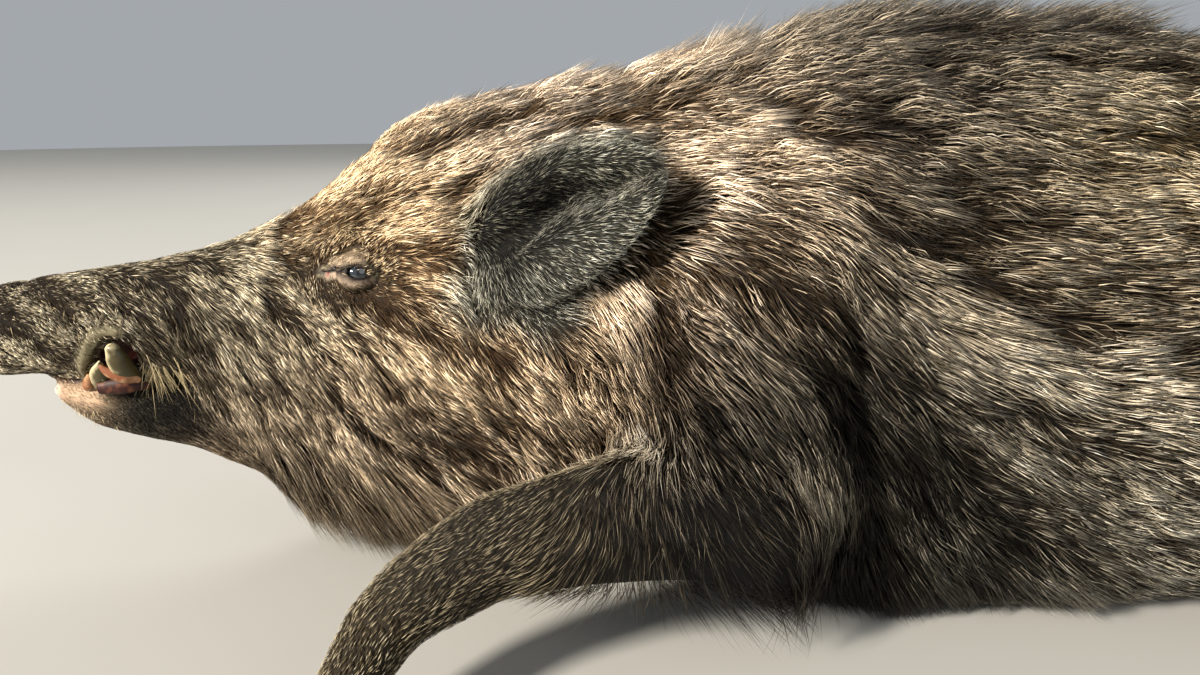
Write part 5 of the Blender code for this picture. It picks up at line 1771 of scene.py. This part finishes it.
# ---------------------------------------------------------------------------------------------
# Eyes, tusks and hooves
# ---------------------------------------------------------------------------------------------
class BOAR_OT_eyes(bpy.types.Operator):
    """Set both eyeballs behind their lids"""

    bl_idname = "boar.eyes"
    bl_label = "Eyes"

    def execute(self, context):
        """Build a ball with a bulging cornea for each side."""
        colours = context.scene.boar_colours
        for word, side in SIDES:
            centre = np.array([EYE_CENTRE.x, side * abs(EYE_CENTRE.y), EYE_CENTRE.z])
            aim = unit(np.array([0.56, side * 0.82, 0.10]))
            bm = bmesh.new()
            bmesh.ops.create_uvsphere(bm, u_segments=48, v_segments=32, radius=EYE_RADIUS)
            mesh = bpy.data.meshes.new(f"eyeball_{word}")
            bm.to_mesh(mesh)
            bm.free()
            points, _ = mesh_arrays(mesh)
            facing = unit(points) @ aim
            cornea = 0.0010 * smooth_step(facing, 0.72, 0.95)
            points = points + unit(points) * cornea[:, None] + centre
            mesh.vertices.foreach_set("co", points.astype(np.float32).ravel())
            mesh.shade_smooth()
            mesh.materials.append(eye_material(f"wet_eye_{word}", centre, aim, colours))
            finish_piece(add_object(f"eyeball_{word}", mesh), "eyeball", f"eye_{word}")
        return {"FINISHED"}


def tapered_tube(name, path, side, count=20, steps=26, flat=0.8, blunt=1.0):
    """A round tapered solid along a path, closed by round ends, with a value for the finish: high towards the tip,
    where tusks are rubbed smooth, and on the front side, as painted light.
    """
    line = np.array(path)
    travel = np.concatenate(([0.0], np.cumsum(np.linalg.norm(np.diff(line[:, :3], axis=0), axis=1))))
    t = np.linspace(0, travel[-1], steps)
    columns = [curve(np.stack([travel, line[:, k]], axis=1), t) for k in range(4)]
    centre = np.stack([columns[0] + SNOUT_X, columns[1] * side, columns[2]], axis=1)
    radius = columns[3] * (1 - (1 - blunt) * smooth_step(t / travel[-1], 0.7, 1.0))
    ahead = unit(np.gradient(centre, axis=0))
    wide = unit(np.cross(ahead, [0.0, 1.0, 0.0]))
    deep = np.cross(ahead, wide)
    end = radius[-1]
    caps = [math.radians(a) for a in (20, 40, 60, 78)]
    rings = [(centre[i], ahead[i], wide[i], deep[i], radius[i]) for i in range(steps)]
    rings += [
        (centre[-1] + ahead[-1] * end * math.sin(a) * 0.8, ahead[-1], wide[-1], deep[-1], end * math.cos(a)) for a in caps
    ]
    angle = np.arange(count) / count * math.tau
    points, wear = [], []
    for k, (middle, _, w, d, r) in enumerate(rings):
        ring = middle + np.outer(np.cos(angle) * r, w) + np.outer(np.sin(angle) * r * flat, d)
        points.extend(ring.tolist())
        along = k / (len(rings) - 1)
        # The front side's share lightens the tusks as painted light; the rise towards the tip is their rubbing.
        ahead_share = np.clip(-(ring - middle)[:, 0] / max(r, 1e-6), 0, 1)
        wear.extend((0.85 * ahead_share**1.5 + 0.35 * smooth_step(along, 0.7, 1.0) - 0.15).tolist())
    last = rings[-1]
    points.append((last[0] + last[1] * end * 0.02).tolist())
    points.append(rings[0][0].tolist())
    wear.extend([0.9, 0.0])
    faces = []
    for k in range(len(rings) - 1):
        for i in range(count):
            j = (i + 1) % count
            faces.append((k * count + i, k * count + j, (k + 1) * count + j, (k + 1) * count + i))
    top = (len(rings) - 1) * count
    for i in range(count):
        j = (i + 1) % count
        faces.append((top + i, top + j, len(points) - 2))
        faces.append((j, i, len(points) - 1))
    mesh = bpy.data.meshes.new(name)
    mesh.from_pydata(points, [], faces)
    bm = bmesh.new()
    bm.from_mesh(mesh)
    bmesh.ops.recalc_face_normals(bm, faces=bm.faces)
    bm.to_mesh(mesh)
    bm.free()
    mesh.shade_smooth()
    layer = mesh.attributes.new("wear", "FLOAT", "POINT")
    layer.data.foreach_set("value", np.array(wear, np.float32))
    return mesh


class BOAR_OT_tusks(bpy.types.Operator):
    """Set the tusks and the gums that hold them"""

    bl_idname = "boar.tusks"
    bl_label = "Tusks and gums"

    def execute(self, context):
        """Build both tusks and the gum on each side."""
        colours = context.scene.boar_colours
        ivory = ivory_material(colours)
        gum = gum_material("gum", colours.gum, colours.gum_pale)
        # The lining is mottled from the mouth's near-black, painted shade, to gum.
        lining = gum_material("mouth_lining", colours.mouth, colours.gum)
        for word, side in SIDES:
            for name, path, blunt in (("lower_tusk", LOWER_TUSK, 1.0), ("upper_tusk", UPPER_TUSK, 0.92)):
                mesh = tapered_tube(f"{name}_ivory_{word}", path, side, blunt=blunt)
                mesh.materials.append(ivory)
                finish_piece(add_object(mesh.name, mesh), "ivory", f"{name}_{word}")
            pieces = (("front_gum", FRONT_GUM, gum), ("gum", TUSK_GUM, gum), ("mouth_lining", MOUTH_LINING, lining))
            for name, path, material in pieces:
                mesh = tapered_tube(f"{name}_{word}", path, side, flat=0.7)
                mesh.materials.append(material)
                finish_piece(add_object(mesh.name, mesh), "snout_skin")
        return {"FINISHED"}


class BOAR_OT_hooves(bpy.types.Operator):
    """Round the hooves and dewclaws of the frame and ring them"""

    bl_idname = "boar.hooves"
    bl_label = "Hooves"

    def execute(self, context):
        """Smooth a merged copy of each claw's solid."""
        horn = horn_material(context.scene.boar_colours)
        for name in HOOVES:
            bm = bmesh.new()
            bm.from_mesh(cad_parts[name].data)
            bmesh.ops.remove_doubles(bm, verts=bm.verts, dist=1e-5)
            mesh = bpy.data.meshes.new(name + "_horn")
            bm.to_mesh(mesh)
            bm.free()
            obj = add_object(name + "_horn", mesh)
            rounder = obj.modifiers.new("round", "SUBSURF")
            rounder.levels = rounder.render_levels = 3
            mesh = final_mesh(obj, name + "_horn")
            points, _ = mesh_arrays(mesh)
            foot = name.rsplit("_", 2)[0]
            ankle = np.array(sum(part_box(next(n for n in FLESH if n.startswith(foot) and "foot" in n)), Vector())) / 2
            away = unit((points.mean(axis=0) - ankle) * np.array([1, 1, 0]))
            along = (points - points.mean(axis=0)) @ away
            along = (along - along.min()) / np.ptp(along)
            points[:, 2] = np.maximum(points[:, 2], 0.0)
            mesh.vertices.foreach_set("co", points.astype(np.float32).ravel())
            layer = mesh.attributes.new("wear", "FLOAT", "POINT")
            layer.data.foreach_set("value", along.astype(np.float32))
            mesh.shade_smooth()
            mesh.materials.clear()
            mesh.materials.append(horn)
            finish_piece(add_object(name + "_horn", mesh), "horn", name)
        return {"FINISHED"}


# ---------------------------------------------------------------------------------------------
# The stage
# ---------------------------------------------------------------------------------------------
def area_light(name, place, target, size, power, colour):
    """A soft light aimed at a target."""
    light = bpy.data.lights.new(name, "AREA")
    light.shape = "DISK"
    light.size = size
    light.energy = power
    light.color = colour
    obj = bpy.data.objects.new(name, light)
    bpy.context.scene.collection.objects.link(obj)
    obj.location = place
    obj.rotation_euler = (Vector(target) - Vector(place)).to_track_quat("-Z", "Y").to_euler()
    return obj


class BOAR_OT_stage(bpy.types.Operator):
    """Lay the floor and set the lights and the camera"""

    bl_idname = "boar.stage"
    bl_label = "Stage"

    def execute(self, context):
        """Build the floor, the sky, the lights and the camera."""
        stage = context.scene.boar_stage
        colours = context.scene.boar_colours
        bm = bmesh.new()
        bmesh.ops.create_circle(bm, cap_ends=True, segments=96, radius=stage.floor_radius)
        bmesh.ops.recalc_face_normals(bm, faces=bm.faces)
        mesh = bpy.data.meshes.new("floor")
        bm.to_mesh(mesh)
        bm.free()
        mesh.materials.append(floor_material(colours.floor))
        floor = add_object("floor", mesh)
        world = bpy.data.worlds.new("studio_air")
        world.use_nodes = True
        backdrop = world.node_tree.nodes["Background"]
        backdrop.inputs["Color"].default_value = (*linear("#dfe5ec"), 1.0)
        backdrop.inputs["Strength"].default_value = 0.50
        context.scene.world = world
        area_light("key", (-5.9, -4.6, 3.5), (0.0, -0.1, 0.2), 1.35, stage.key_power * 15.8, linear("#fff6ea"))
        area_light("fill", (2.2, -2.4, 1.6), (0.1, 0.0, 0.2), 2.4, stage.fill_power, linear("#eef2fa"))
        area_light("back", (0.8, 4.2, 3.2), (0.1, 0.0, 0.3), 3.0, stage.fill_power * 6.0, linear("#f4f2ee"))
        camera = bpy.data.cameras.new("camera")
        camera.lens = 28.5
        camera.sensor_width = 36.0
        camera.clip_start = 0.01
        obj = bpy.data.objects.new("camera", camera)
        context.scene.collection.objects.link(obj)
        obj.location = (-0.245, -0.762, 0.365)
        obj.rotation_euler = (math.radians(76.25), 0.0, 0.0)
        context.scene.camera = obj
        context.scene.view_settings.view_transform = "Standard"
        return {"FINISHED"}


OPERATORS = (
    BOAR_OT_skin, BOAR_OT_coat, BOAR_OT_eyes, BOAR_OT_tusks, BOAR_OT_hooves, BOAR_OT_bristles, BOAR_OT_stage,
)
SETTINGS = (
    ("boar_skin", BoarSkinSettings), ("boar_coat", BoarCoatSettings), ("boar_colours", BoarColourSettings),
    ("boar_stage", BoarStageSettings),
)


class BOAR_PT_panel(bpy.types.Panel):
    """The boar's operators and settings in the sidebar"""

    bl_label = "Wild Boar"
    bl_idname = "BOAR_PT_panel"
    bl_space_type = "VIEW_3D"
    bl_region_type = "UI"
    bl_category = "Boar"

    def draw(self, context):
        """List the operators, then each group of settings."""
        for operator in OPERATORS:
            self.layout.operator(operator.bl_idname)
        for name, group in SETTINGS:
            box = self.layout.box()
            for key in group.__annotations__:
                box.prop(getattr(context.scene, name), key)


def register():
    """Register the settings, the operators and the panel."""
    for name, group in SETTINGS:
        bpy.utils.register_class(group)
        setattr(bpy.types.Scene, name, bpy.props.PointerProperty(type=group))
    for cls in (*OPERATORS, BOAR_PT_panel):
        bpy.utils.register_class(cls)


def unregister():
    """Take back everything that register added."""
    for cls in (BOAR_PT_panel, *reversed(OPERATORS)):
        bpy.utils.unregister_class(cls)
    for name, group in reversed(SETTINGS):
        delattr(bpy.types.Scene, name)
        bpy.utils.unregister_class(group)


def main():
    """Build the boar's looks in order."""
    register()
    for operator in OPERATORS:
        word = operator.bl_idname.split(".")[1]
        getattr(bpy.ops.boar, word)()
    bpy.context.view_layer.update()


if __name__ == "__main__":
    main()
